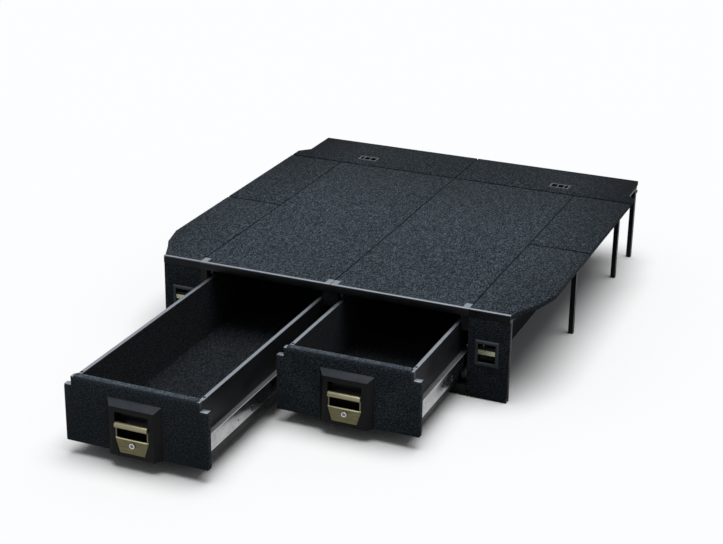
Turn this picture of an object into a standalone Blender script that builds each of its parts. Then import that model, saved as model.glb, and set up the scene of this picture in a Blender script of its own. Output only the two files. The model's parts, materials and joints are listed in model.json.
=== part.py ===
"""Twin drawer system for the load bed of a ute.

Two sheet-metal modules stand side by side on the bed floor and each carries one long drawer on
rollers. Carpeted boards make a flat deck over them, side infills and rear hatches fill the rest of
the bed, and a drop-down door closes each side infill at the front.

Every frame counts X to the right, Y from the front lip towards the cab and Z up from the floor.
"""

import math

import bmesh
import bpy
from mathutils import Matrix, Vector

# Fits and working allowances
clearance = 0.0003
overrun = 0.004
weld_depth = 0.001
round_sides = 32
small_round_sides = 16
edge_segments = 2
smooth_angle = math.radians(35)

# Whole deck
deck_height = 0.321
deck_thickness = 0.018
board_edge_radius = 0.0015
module_width = 0.500
module_length = 1.2474

# Front lip
lip_depth = 0.030
lip_drop = 0.010
nosing_depth = 0.005
nosing_height = 0.006
end_plate_width = 0.023
end_plate_depth = 0.0425
end_plate_thickness = 0.0015

# Sheet-metal side frames
sheet_thickness = 0.002
flange_width = 0.022
toe_setback = 0.004
toe_headroom = 0.002
web_setback = 0.0025
gusset_setback = 0.002
gusset_wall_gap = 0.0057
gusset_notch_gap = 0.0040
rear_panel_thickness = 0.012

# Floor tie
tie_headroom = 0.0055
tie_wall = 0.0025

# Drawer
left_pull_share = 0.84762
right_pull_share = 0.40838
drawer_head_gap = 0.0299
drawer_rear_gap = 0.030
drawer_side_gap = 0.0312
panel_thickness = 0.0245
panel_floor_gap = 0.0455
panel_side_gap = 0.002
panel_edge_radius = 0.004
panel_rise = 0.0105
notch_depth = 0.0369
notch_wall_gap = 0.0025
shoulder_depth = 0.0069
shoulder_width = 0.0098
wall_thickness = 0.0124
wall_drop = 0.0065
tray_rise = 0.0095
tray_floor_thickness = 0.006
tray_back_thickness = 0.012
tray_lip_thickness = 0.003
tray_lip_height = 0.030
rim_width = 0.0124
rim_thickness = 0.002

# Runners, rollers and tracks
runner_rise = 0.037
runner_height = 0.058
runner_width = 0.0187
runner_wall = 0.0025
roller_side_gap = 0.004
front_roller_radius = 0.0255
front_roller_gap = 0.003
rear_roller_radius = 0.017
rear_roller_inset = 0.032
axle_radius = 0.006
axle_reach = 0.010
track_runner_gap = 0.008
track_tip_gap = 0.0035
track_front_gap = 0.007
track_stop_gap = 0.0209

# Latch hook under the drawer front
hook_thickness = 0.005
hook_length = 0.020
hook_half_height = 0.0036
hook_drop = 0.0045
hook_setback = 0.011
hook_catch_gap = 0.002
hook_pin_radius = 0.0015
hook_side_gap = 0.0005
lug_thickness = 0.003
lug_half_depth = 0.0055
lug_below_pin = 0.0038

# Drawer bezel
bezel_width = 0.188
bezel_height = 0.181
bezel_depth = 0.022
bezel_chamfer = 0.0175
bezel_wall = 0.0025
pocket_skin = 0.0075
recess_height = 0.147
recess_foot_gap = 0.0025

# Drawer handle
handle_width = 0.1135
handle_foot_width = 0.086
handle_gap = 0.0015
handle_foot_rise = 0.012
handle_plate_height = 0.0505
handle_kink_share = 0.87
handle_slot_height = 0.033
handle_arm_width = 0.005
handle_thickness = 0.004
handle_set_in = 0.0005
grip_radius = 0.0098
grip_proud = 0.001
bead_radius = 0.0028
handle_pin_radius = 0.0025
handle_pin_rise = 0.0055
handle_pin_reach = 0.005

# Lock barrel
lock_rise = 0.030
lock_radius = 0.0103
lock_proud = 0.003
lock_length = 0.018
cam_length = 0.015
cam_half_width = 0.006
cam_thickness = 0.003
keyway_length = 0.009
keyway_width = 0.0022
keyway_depth = 0.002

# Side infills
wing_width = 0.2265
wing_front_width = 0.1445
wing_split = 0.6575
pillar_length = 0.237
pillar_curve_shares = ((0.0, 0.0), (0.39, 0.35), (0.67, 0.54), (1.0, 1.0))
rear_step_start = 0.0615
rear_step_run = 0.043
rear_step_in = 0.0385
rail_width = 0.020
rail_height = 0.010
leg_width = 0.018
post_width = 0.012

# Rear hatches
hatch_length = 0.2846
hatch_axle_inset = 0.006
hatch_axle_drop = 0.010
hatch_pin_radius = 0.003
hatch_pin_reach = 0.005
hatch_ear_half = 0.006
hatch_ear_thickness = 0.006
hatch_lug_thickness = 0.008
hatch_lug_gap = 0.001
hatch_hinge_inset = 0.040
rear_rail_drop = 0.010
rear_rail_depth = 0.020
rear_rail_height = 0.010
pull_place_x = 0.4155
pull_place_share = 0.311
pull_width = 0.079
pull_depth = 0.047
pull_thickness = 0.013
pull_border = 0.006
pull_web = 0.004
pull_pocket_floor = 0.002
pull_latch_share = 0.22

# Infill doors
door_thickness = 0.015
door_setback = 0.001
door_edge_gap = 0.0015
door_floor_gap = 0.003
door_pin_radius = 0.003
door_pin_reach = 0.005
door_ear_width = 0.008
door_ear_half = 0.006
door_ear_gap = 0.001
door_shoulder_rise = 0.0095
door_swing_gap = 0.005

# Door pull
door_pull_place_x = 0.068
door_pull_place_z = 0.170
door_bezel_width = 0.084
door_bezel_height = 0.092
door_bezel_proud = 0.004
door_bezel_chamfer = 0.003
door_pan_width = 0.067
door_pan_height = 0.073
door_pan_depth = 0.024
door_pan_wall = 0.0025
paddle_height = 0.016
paddle_thickness = 0.005
paddle_gap = 0.0015
paddle_place_z = 0.003
paddle_pin_radius = 0.0019
paddle_pin_reach = 0.0017
paddle_tilt_share = 0.35

# Levels worked out from the sizes above
deck_bottom = deck_height - deck_thickness
lip_bottom = deck_bottom - lip_drop
rim_top = lip_bottom - drawer_head_gap
drawer_top = rim_top - rim_thickness - clearance
panel_top = rim_top + panel_rise
notch_level = panel_top - notch_depth
shoulder_level = panel_top - shoulder_depth
gusset_bottom = notch_level + gusset_notch_gap
panel_bottom = panel_floor_gap
drawer_bottom = panel_bottom + tray_rise
runner_bottom = drawer_bottom + runner_rise
tie_top = panel_bottom - tie_headroom
front_roller_height = runner_bottom - clearance - front_roller_radius
track_roof_top = runner_bottom - track_runner_gap
track_roof = track_roof_top - sheet_thickness
rear_roller_height = track_roof - clearance - rear_roller_radius
track_floor = rear_roller_height - rear_roller_radius - clearance

# Places across a module, counted from its middle
module_half = module_width / 2 - clearance / 2
web_inside = module_half - sheet_thickness
wall_outside = module_width / 2 - drawer_side_gap
wall_inside = wall_outside - wall_thickness
runner_outside = wall_outside + runner_width
panel_half = module_width / 2 - panel_side_gap
track_tip = wall_outside + track_tip_gap
roller_inside = wall_outside + roller_side_gap
roller_outside = web_inside - roller_side_gap

# Places along a module, counted from the lip
deck_length = module_length + hatch_length
rear_panel_front = module_length - rear_panel_thickness
frame_end = rear_panel_front - clearance
panel_back = panel_thickness + clearance
drawer_end = rear_panel_front - drawer_rear_gap
front_roller_place = panel_thickness + front_roller_gap + front_roller_radius
track_front = front_roller_place + front_roller_radius + track_front_gap
rear_roller_place = drawer_end - rear_roller_inset
drawer_travel = rear_roller_place - rear_roller_radius - track_front - track_stop_gap
left_drawer_pull = drawer_travel * left_pull_share
right_drawer_pull = drawer_travel * right_pull_share
hook_place = panel_thickness + hook_setback
tie_back = hook_place - hook_half_height - hook_catch_gap

# The whole part is centred on its origin as it stands here, with the drawers pulled out
grip_front = bezel_depth - handle_set_in + grip_proud + grip_radius * math.cos(math.pi / round_sides)
front_reach = max(left_drawer_pull, right_drawer_pull) + grip_front
lip_place = (front_reach - deck_length) / 2

pivot_names = set()


def clear_scene():
    for old in list(bpy.data.objects):
        bpy.data.objects.remove(old, do_unlink=True)


def finish_material(name, colour, roughness, metallic):
    material = bpy.data.materials.new(name)
    material.use_nodes = True
    shader = material.node_tree.nodes["Principled BSDF"]
    shader.inputs["Base Color"].default_value = (*colour, 1.0)
    shader.inputs["Roughness"].default_value = roughness
    shader.inputs["Metallic"].default_value = metallic
    material.diffuse_color = (*colour, 1.0)
    return material


def make_finishes():
    return {
        "carpet": finish_material("carpet", (0.020, 0.024, 0.029), 0.95, 0.0),
        "black_steel": finish_material("black_steel", (0.010, 0.010, 0.011), 0.45, 0.6),
        "aluminium": finish_material("aluminium", (0.42, 0.44, 0.46), 0.38, 1.0),
        "galvanised": finish_material("galvanised", (0.55, 0.56, 0.55), 0.30, 1.0),
        "black_plastic": finish_material("black_plastic", (0.012, 0.012, 0.014), 0.50, 0.0),
        "grey_plastic": finish_material("grey_plastic", (0.16, 0.17, 0.18), 0.55, 0.0),
        "olive_metal": finish_material("olive_metal", (0.21, 0.19, 0.075), 0.38, 0.8),
        "chrome": finish_material("chrome", (0.80, 0.80, 0.80), 0.10, 1.0),
        "nylon": finish_material("nylon", (0.33, 0.34, 0.34), 0.50, 0.0),
        "zinc": finish_material("zinc", (0.48, 0.48, 0.46), 0.40, 1.0),
    }


def make_frame(name, location, parent=None):
    """An empty that other pieces are counted from."""
    frame = bpy.data.objects.new(name, None)
    bpy.context.collection.objects.link(frame)
    attach(frame, parent)
    frame.location = location
    return frame


def make_pivot(name, location, parent):
    """An empty on a joint's axis. What hangs on it is still counted from the frame that carries it."""
    pivot = make_frame(name, location, parent)
    pivot_names.add(pivot.name)
    return pivot


def attach(piece, parent):
    piece.parent = parent
    if parent is not None and parent.name in pivot_names:
        piece.matrix_parent_inverse = Matrix.Translation(parent.location).inverted()


def add_piece(name, shape, parent, material):
    """A named object whose origin is at the middle of its own shape."""
    bmesh.ops.recalc_face_normals(shape, faces=shape.faces)
    places = [vertex.co for vertex in shape.verts]
    low = Vector([min(place[axis] for place in places) for axis in range(3)])
    high = Vector([max(place[axis] for place in places) for axis in range(3)])
    middle = (low + high) / 2
    bmesh.ops.translate(shape, verts=shape.verts, vec=-middle)
    mesh = bpy.data.meshes.new(name)
    shape.to_mesh(mesh)
    shape.free()
    mesh.materials.append(material)
    piece = bpy.data.objects.new(name, mesh)
    bpy.context.collection.objects.link(piece)
    attach(piece, parent)
    piece.location = middle
    return piece


def along(axis, distance, across):
    """A point at this distance along the axis, with the other two values in X, Y, Z order."""
    if axis == "X":
        return Vector((distance, across[0], across[1]))
    if axis == "Y":
        return Vector((across[0], distance, across[1]))
    return Vector((across[0], across[1], distance))


def prism(name, axis, outline, span, parent, material=None):
    """The outline, drawn across the axis, extruded from one end of the span to the other."""
    low, high = sorted(span)
    shape = bmesh.new()
    corners = [shape.verts.new(along(axis, low, point)) for point in outline]
    face = shape.faces.new(corners)
    grown = bmesh.ops.extrude_face_region(shape, geom=[face])["geom"]
    moved = [item for item in grown if isinstance(item, bmesh.types.BMVert)]
    bmesh.ops.translate(shape, verts=moved, vec=along(axis, high - low, (0, 0)))
    return add_piece(name, shape, parent, material)


def block(name, x_span, y_span, z_span, parent, material=None):
    outline = [
        (x_span[0], y_span[0]),
        (x_span[1], y_span[0]),
        (x_span[1], y_span[1]),
        (x_span[0], y_span[1]),
    ]
    return prism(name, "Z", outline, z_span, parent, material)


def circle(centre, radius, sides):
    turns = [math.tau * (step + 0.5) / sides for step in range(sides)]
    return [(centre[0] + radius * math.cos(turn), centre[1] + radius * math.sin(turn)) for turn in turns]


def rod(name, axis, centre, radius, span, parent, material=None, sides=small_round_sides):
    piece = prism(name, axis, circle(centre, radius, sides), span, parent, material)
    piece.data.shade_smooth()
    piece.data.set_sharp_from_angle(angle=smooth_angle)
    return piece


def combine(piece, operation, others):
    for other in others:
        modifier = piece.modifiers.new(f"{operation.lower()} {other.name}", "BOOLEAN")
        modifier.operation = operation
        modifier.solver = "EXACT"
        modifier.object = other
        other.hide_render = True
        other.display_type = "WIRE"
    return piece


def fuse(piece, *others):
    return combine(piece, "UNION", others)


def cut(piece, *others):
    return combine(piece, "DIFFERENCE", others)


def soften(piece, radius):
    modifier = piece.modifiers.new("rounded edges", "BEVEL")
    modifier.width = radius
    modifier.segments = edge_segments
    modifier.limit_method = "ANGLE"
    modifier.angle_limit = smooth_angle
    return piece


def mirrored(side, outline):
    """The outline with its first value turned to this side of the middle."""
    return [(side * point[0], point[1]) for point in outline]


def both(side, near, far):
    return (side * near, side * far)


# Module frames


def lip_outline():
    """Section of the front lip bar as (y, z): a full-height front edge and a lower seat for the board."""
    front_top = deck_height - nosing_height - clearance
    seat = deck_bottom - clearance
    return [
        (0, lip_bottom),
        (lip_depth, lip_bottom),
        (lip_depth, seat),
        (nosing_depth, seat),
        (nosing_depth, front_top),
        (0, front_top),
    ]


def side_frame_outline():
    """Section of a side frame as (x, z): web, top and foot flanges, and the roller track's two flanges."""
    top = deck_bottom - clearance
    flange_tip = web_inside - flange_width
    return [
        (module_half, 0),
        (module_half, top),
        (flange_tip, top),
        (flange_tip, top - sheet_thickness),
        (web_inside, top - sheet_thickness),
        (web_inside, track_roof_top),
        (track_tip, track_roof_top),
        (track_tip, track_roof),
        (web_inside, track_roof),
        (web_inside, track_floor),
        (track_tip, track_floor),
        (track_tip, track_floor - sheet_thickness),
        (web_inside, track_floor - sheet_thickness),
        (web_inside, sheet_thickness),
        (flange_tip, sheet_thickness),
        (flange_tip, 0),
    ]


def build_side_frame(name, side, module, finishes):
    frame = prism(
        name,
        "Y",
        mirrored(side, side_frame_outline()),
        (toe_setback, frame_end),
        module,
        finishes["black_steel"],
    )
    beyond = module_half + overrun
    inboard = track_tip - overrun
    gusset_tip = wall_outside + gusset_wall_gap
    gusset = block(
        f"{name}_gusset",
        both(side, gusset_tip, module_half),
        (gusset_setback, lip_depth + weld_depth),
        (gusset_bottom, lip_bottom - clearance),
        module,
    )
    drawer_front_space = block(
        f"{name}_front_space",
        both(side, inboard, beyond),
        (-overrun, panel_thickness + web_setback),
        (tie_top + toe_headroom, gusset_bottom),
        module,
    )
    lip_space = block(
        f"{name}_lip_space",
        both(side, inboard, beyond),
        (-overrun, lip_depth + clearance),
        (lip_bottom - clearance, deck_height),
        module,
    )
    roller_space = block(
        f"{name}_roller_space",
        both(side, inboard, web_inside),
        (-overrun, track_front),
        (track_floor - sheet_thickness - overrun, track_roof_top + overrun),
        module,
    )
    axle_hole = rod(
        f"{name}_axle_hole",
        "X",
        (front_roller_place, front_roller_height),
        axle_radius + clearance,
        both(side, web_inside - overrun, beyond),
        module,
    )
    cut(frame, drawer_front_space, lip_space, roller_space, axle_hole)
    fuse(frame, gusset)
    return frame


def build_front_roller(name, side, module, finishes):
    centre = (front_roller_place, front_roller_height)
    roller = rod(
        name,
        "X",
        centre,
        front_roller_radius,
        both(side, roller_inside, roller_outside),
        module,
        finishes["nylon"],
        round_sides,
    )
    axle_span = both(side, roller_outside - weld_depth, module_half)
    axle = rod(f"{name}_axle", "X", centre, axle_radius, axle_span, module)
    fuse(roller, axle)


def build_nosing(name, module, finishes):
    top_level = deck_height - end_plate_thickness
    bar = block(
        name,
        (-module_half, module_half),
        (0, nosing_depth),
        (deck_height - nosing_height, deck_height),
        module,
        finishes["aluminium"],
    )
    plates = [
        block(
            f"{name}_plate_{index}",
            both(side, module_half - end_plate_width, module_half),
            (nosing_depth - weld_depth, end_plate_depth),
            (top_level, deck_height),
            module,
        )
        for index, side in enumerate((-1, 1))
    ]
    fuse(bar, *plates)


def build_deck_board(name, module, finishes):
    board = block(
        name,
        (-module_half, module_half),
        (nosing_depth + clearance, module_length),
        (deck_bottom, deck_height),
        module,
        finishes["carpet"],
    )
    rebates = [
        block(
            f"{name}_rebate_{index}",
            both(side, module_half - end_plate_width - clearance, module_half + overrun),
            (-overrun, end_plate_depth + clearance),
            (deck_height - end_plate_thickness - clearance, deck_height + overrun),
            module,
        )
        for index, side in enumerate((-1, 1))
    ]
    soften(board, board_edge_radius)
    cut(board, *rebates)


def build_module_frame(label, hand, module, finishes):
    for place, side in (("outer", hand), ("inner", -hand)):
        build_side_frame(f"{label}_{place}_side_frame", side, module, finishes)
        build_front_roller(f"{label}_{place}_front_roller", side, module, finishes)
    prism(
        f"{label}_front_lip_bar",
        "X",
        lip_outline(),
        (-module_half, module_half),
        module,
        finishes["black_steel"],
    )
    build_nosing(f"{label}_deck_nosing", module, finishes)
    build_deck_board(f"{label}_deck_board", module, finishes)
    block(
        f"{label}_rear_panel",
        (-module_half, module_half),
        (rear_panel_front, module_length),
        (0, deck_bottom - clearance),
        module,
        finishes["black_steel"],
    )
    tie_half = web_inside - clearance
    tie_foot = sheet_thickness + clearance
    tie_outline = [
        (toe_setback, tie_foot),
        (toe_setback, tie_top),
        (tie_back, tie_top),
        (tie_back, tie_foot),
        (tie_back - tie_wall, tie_foot),
        (tie_back - tie_wall, tie_top - tie_wall),
        (toe_setback + tie_wall, tie_top - tie_wall),
        (toe_setback + tie_wall, tie_foot),
    ]
    prism(f"{label}_floor_tie", "X", tie_outline, (-tie_half, tie_half), module, finishes["black_steel"])


# Drawers, each counted from the middle of its front face at floor level


def recess_outline(margin):
    """Outline of the handle as (x, z), grown by this margin, with the recess above the grip."""
    half = handle_width / 2 + margin
    foot_half = handle_foot_width / 2 + margin
    foot = panel_bottom + handle_foot_rise - recess_foot_gap
    kink = panel_bottom + handle_foot_rise + handle_plate_height * handle_kink_share
    return [
        (-foot_half, foot),
        (foot_half, foot),
        (half, kink),
        (half, panel_bottom + recess_height),
        (-half, panel_bottom + recess_height),
        (-half, kink),
    ]


def build_front_panel(name, drawer, finishes):
    neck = wall_outside + notch_wall_gap
    outline = [
        (-panel_half, panel_bottom),
        (panel_half, panel_bottom),
        (panel_half, notch_level),
        (neck, notch_level),
        (neck, panel_top),
        (-neck, panel_top),
        (-neck, notch_level),
        (-panel_half, notch_level),
    ]
    panel = prism(name, "Y", outline, (0, panel_thickness), drawer, finishes["carpet"])
    pocket = prism(
        f"{name}_pocket",
        "Y",
        recess_outline(handle_gap + bezel_wall + clearance),
        (-overrun, panel_thickness - pocket_skin),
        drawer,
    )
    shoulders = [
        block(
            f"{name}_shoulder_{index}",
            both(side, neck - shoulder_width, neck + overrun),
            (-overrun, panel_thickness + overrun),
            (shoulder_level, panel_top + overrun),
            drawer,
        )
        for index, side in enumerate((-1, 1))
    ]
    soften(panel, panel_edge_radius)
    cut(panel, pocket, *shoulders)


def build_bezel(name, drawer, finishes):
    half = bezel_width / 2
    top = panel_bottom + bezel_height
    shape = bmesh.new()
    rear_face = [(-half, panel_bottom), (half, panel_bottom), (half, top), (-half, top)]
    inset = half - bezel_chamfer
    front_face = [
        (-inset, panel_bottom),
        (inset, panel_bottom),
        (inset, top - bezel_chamfer),
        (-inset, top - bezel_chamfer),
    ]
    rear = [shape.verts.new((x, -clearance, z)) for x, z in rear_face]
    front = [shape.verts.new((x, -bezel_depth, z)) for x, z in front_face]
    shape.faces.new(rear)
    shape.faces.new(front)
    for index in range(len(rear)):
        following = (index + 1) % len(rear)
        shape.faces.new((rear[index], rear[following], front[following], front[index]))
    bezel = add_piece(name, shape, drawer, finishes["black_plastic"])
    pan_back = panel_thickness - pocket_skin - clearance
    pan = prism(
        f"{name}_pan",
        "Y",
        recess_outline(handle_gap + bezel_wall),
        (-clearance - weld_depth, pan_back),
        drawer,
    )
    hollow = prism(
        f"{name}_hollow",
        "Y",
        recess_outline(handle_gap),
        (-bezel_depth - overrun, pan_back - bezel_wall),
        drawer,
    )
    pin_half = handle_foot_width / 2 + handle_pin_reach + clearance
    pin_hole = rod(
        f"{name}_pin_hole",
        "X",
        (handle_pin_place(), handle_pin_height()),
        handle_pin_radius + clearance,
        (-pin_half, pin_half),
        drawer,
    )
    fuse(bezel, pan)
    cut(bezel, hollow, pin_hole)


def handle_back():
    return -bezel_depth + handle_set_in + handle_thickness


def handle_pin_place():
    return handle_back()


def handle_pin_height():
    return panel_bottom + handle_foot_rise + handle_pin_rise


def build_handle(name, pivot, finishes):
    foot = panel_bottom + handle_foot_rise
    kink = foot + handle_plate_height * handle_kink_share
    slot_foot = foot + handle_plate_height
    slot_top = slot_foot + handle_slot_height
    grip_height = slot_top + grip_radius
    half = handle_width / 2
    foot_half = handle_foot_width / 2
    front = handle_back() - handle_thickness
    outline = [
        (-foot_half, foot),
        (foot_half, foot),
        (half, kink),
        (half, grip_height),
        (-half, grip_height),
        (-half, kink),
    ]
    handle = prism(name, "Y", outline, (front, handle_back()), pivot, finishes["olive_metal"])
    slot_half = half - handle_arm_width
    slot = block(
        f"{name}_slot",
        (-slot_half, slot_half),
        (front - overrun, handle_back() + overrun),
        (slot_foot, slot_top),
        pivot,
    )
    grip = rod(
        f"{name}_grip",
        "X",
        (front - grip_proud, grip_height),
        grip_radius,
        (-half, half),
        pivot,
        sides=round_sides,
    )
    bead = rod(
        f"{name}_bead",
        "X",
        (front, slot_foot - bead_radius / 2),
        bead_radius,
        (-slot_half, slot_half),
        pivot,
    )
    pin_half = handle_foot_width / 2 + handle_pin_reach
    pin = rod(
        f"{name}_pin",
        "X",
        (handle_pin_place(), handle_pin_height()),
        handle_pin_radius,
        (-pin_half, pin_half),
        pivot,
    )
    lock_hole = rod(
        f"{name}_lock_hole",
        "Y",
        (0, foot + lock_rise),
        lock_radius + clearance,
        (front - overrun, handle_back() + overrun),
        pivot,
        sides=round_sides,
    )
    cut(handle, slot)
    fuse(handle, grip, bead, pin)
    cut(handle, lock_hole)


def build_lock(name, pivot, finishes):
    height = panel_bottom + handle_foot_rise + lock_rise
    front = handle_back() - handle_thickness - lock_proud
    back = front + lock_length
    barrel = rod(
        name, "Y", (0, height), lock_radius, (front, back), pivot, finishes["chrome"], round_sides
    )
    cam = block(
        f"{name}_cam",
        (-cam_half_width, cam_half_width),
        (back - weld_depth, back + cam_thickness),
        (height - cam_half_width, height + cam_length),
        pivot,
    )
    keyway = block(
        f"{name}_keyway",
        (-keyway_width / 2, keyway_width / 2),
        (front - overrun, front + keyway_depth),
        (height - keyway_length / 2, height + keyway_length / 2),
        pivot,
    )
    fuse(barrel, cam)
    cut(barrel, keyway)


def build_hook(name, pivot, finishes):
    height = drawer_bottom - hook_drop
    half = hook_thickness / 2
    hook = rod(name, "X", (hook_place, height), hook_half_height, (-half, half), pivot, finishes["zinc"])
    arm = block(
        f"{name}_arm",
        (-half, half),
        (hook_place, hook_place + hook_length),
        (height - hook_half_height, height + hook_half_height),
        pivot,
    )
    pin_half = half + hook_side_gap + lug_thickness
    pin = rod(f"{name}_pin", "X", (hook_place, height), hook_pin_radius, (-pin_half, pin_half), pivot)
    fuse(hook, arm, pin)


def build_tray(name, drawer, finishes):
    """Floor, back and front lip of the drawer, folded from one piece, with two lugs for the hook."""
    floor_top = drawer_bottom + tray_floor_thickness
    outline = [
        (panel_back, drawer_bottom),
        (drawer_end, drawer_bottom),
        (drawer_end, drawer_top),
        (drawer_end - tray_back_thickness, drawer_top),
        (drawer_end - tray_back_thickness, floor_top),
        (panel_back + tray_lip_thickness, floor_top),
        (panel_back + tray_lip_thickness, floor_top + tray_lip_height),
        (panel_back, floor_top + tray_lip_height),
    ]
    half = wall_inside - clearance
    tray = prism(name, "X", outline, (-half, half), drawer, finishes["carpet"])
    near = hook_thickness / 2 + hook_side_gap
    height = drawer_bottom - hook_drop
    lugs = [
        block(
            f"{name}_lug_{index}",
            both(side, near, near + lug_thickness),
            (hook_place - lug_half_depth, hook_place + lug_half_depth),
            (height - lug_below_pin, drawer_bottom + weld_depth),
            drawer,
        )
        for index, side in enumerate((-1, 1))
    ]
    reach = near + lug_thickness + overrun
    pin_hole = rod(
        f"{name}_pin_hole", "X", (hook_place, height), hook_pin_radius + clearance, (-reach, reach), drawer
    )
    fuse(tray, *lugs)
    cut(tray, pin_hole)


def runner_outline():
    """Section of a runner as (x, z): a channel that opens towards the drawer wall."""
    near = wall_outside + clearance
    top = runner_bottom + runner_height
    return [
        (near, runner_bottom),
        (runner_outside, runner_bottom),
        (runner_outside, top),
        (near, top),
        (near, top - runner_wall),
        (runner_outside - runner_wall, top - runner_wall),
        (runner_outside - runner_wall, runner_bottom + runner_wall),
        (near, runner_bottom + runner_wall),
    ]


def build_drawer_side(label, place, side, drawer, finishes):
    wall = block(
        f"{label}_drawer_{place}_wall",
        both(side, wall_inside, wall_outside),
        (panel_back, drawer_end),
        (drawer_bottom - wall_drop, drawer_top),
        drawer,
        finishes["black_steel"],
    )
    axle_centre = (rear_roller_place, rear_roller_height)
    axle_hole = rod(
        f"{wall.name}_axle_hole",
        "X",
        axle_centre,
        axle_radius + clearance,
        both(side, wall_outside - axle_reach - clearance, wall_outside + overrun),
        drawer,
    )
    cut(wall, axle_hole)
    prism(
        f"{label}_drawer_{place}_runner",
        "Y",
        mirrored(side, runner_outline()),
        (panel_back, drawer_end),
        drawer,
        finishes["galvanised"],
    )
    roller = rod(
        f"{label}_drawer_{place}_rear_roller",
        "X",
        axle_centre,
        rear_roller_radius,
        both(side, roller_inside, roller_outside),
        drawer,
        finishes["nylon"],
        round_sides,
    )
    axle = rod(
        f"{roller.name}_axle",
        "X",
        axle_centre,
        axle_radius,
        both(side, wall_outside - axle_reach, roller_inside + weld_depth),
        drawer,
    )
    fuse(roller, axle)


def build_rim(name, drawer, finishes):
    """Bright capping along the top of both walls and the back, as one U in plan."""
    outside = wall_outside
    inside = wall_outside - rim_width
    back = drawer_end - rim_width
    outline = [
        (-outside, panel_back),
        (-inside, panel_back),
        (-inside, back),
        (inside, back),
        (inside, panel_back),
        (outside, panel_back),
        (outside, drawer_end),
        (-outside, drawer_end),
    ]
    prism(name, "Z", outline, (rim_top - rim_thickness, rim_top), drawer, finishes["aluminium"])


def build_drawer(label, hand, pull, module, finishes):
    drawer = make_frame(f"{label}_drawer_slide", (0, -pull, 0), module)
    build_front_panel(f"{label}_drawer_front", drawer, finishes)
    build_tray(f"{label}_drawer_tray", drawer, finishes)
    build_rim(f"{label}_drawer_rim", drawer, finishes)
    for place, side in (("outer", hand), ("inner", -hand)):
        build_drawer_side(label, place, side, drawer, finishes)
    build_bezel(f"{label}_handle_bezel", drawer, finishes)
    handle_hinge = make_pivot(f"{label}_handle_hinge", (0, handle_pin_place(), handle_pin_height()), drawer)
    build_handle(f"{label}_pull_handle", handle_hinge, finishes)
    lock_height = panel_bottom + handle_foot_rise + lock_rise
    lock_axis = make_pivot(f"{label}_lock_axis", (0, handle_back(), lock_height), handle_hinge)
    build_lock(f"{label}_lock_barrel", lock_axis, finishes)
    hook_hinge = make_pivot(f"{label}_hook_hinge", (0, hook_place, drawer_bottom - hook_drop), drawer)
    build_hook(f"{label}_latch_hook", hook_hinge, finishes)


# Side infills and rear hatches, counted from the middle of the lip. Hand is -1 on the left, 1 on the right

infill_inside = module_width / 2 * 2 + clearance
infill_front_end = module_width + wing_front_width
infill_outside = module_width + wing_width
outer_rail_outside = infill_outside - rear_step_in
outer_rail_inside = outer_rail_outside - rail_width
rail_top = deck_bottom - clearance
rail_bottom = rail_top - rail_height
hatch_front = module_length + clearance
hatch_axle_place = deck_length - hatch_axle_inset
hatch_axle_height = deck_bottom - hatch_axle_drop
rear_rail_top = hatch_axle_height - rear_rail_drop
rear_rail_front = hatch_axle_place - rear_rail_depth / 2
rear_rail_back = hatch_axle_place + hatch_axle_inset
door_front = door_setback
door_back = door_front + door_thickness
door_axle_place = door_front + door_thickness / 2
door_axle_height = door_floor_gap + door_thickness / 2
door_shoulder = door_axle_height + door_shoulder_rise
door_top = lip_bottom - door_edge_gap
door_inside = module_width + door_edge_gap


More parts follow.
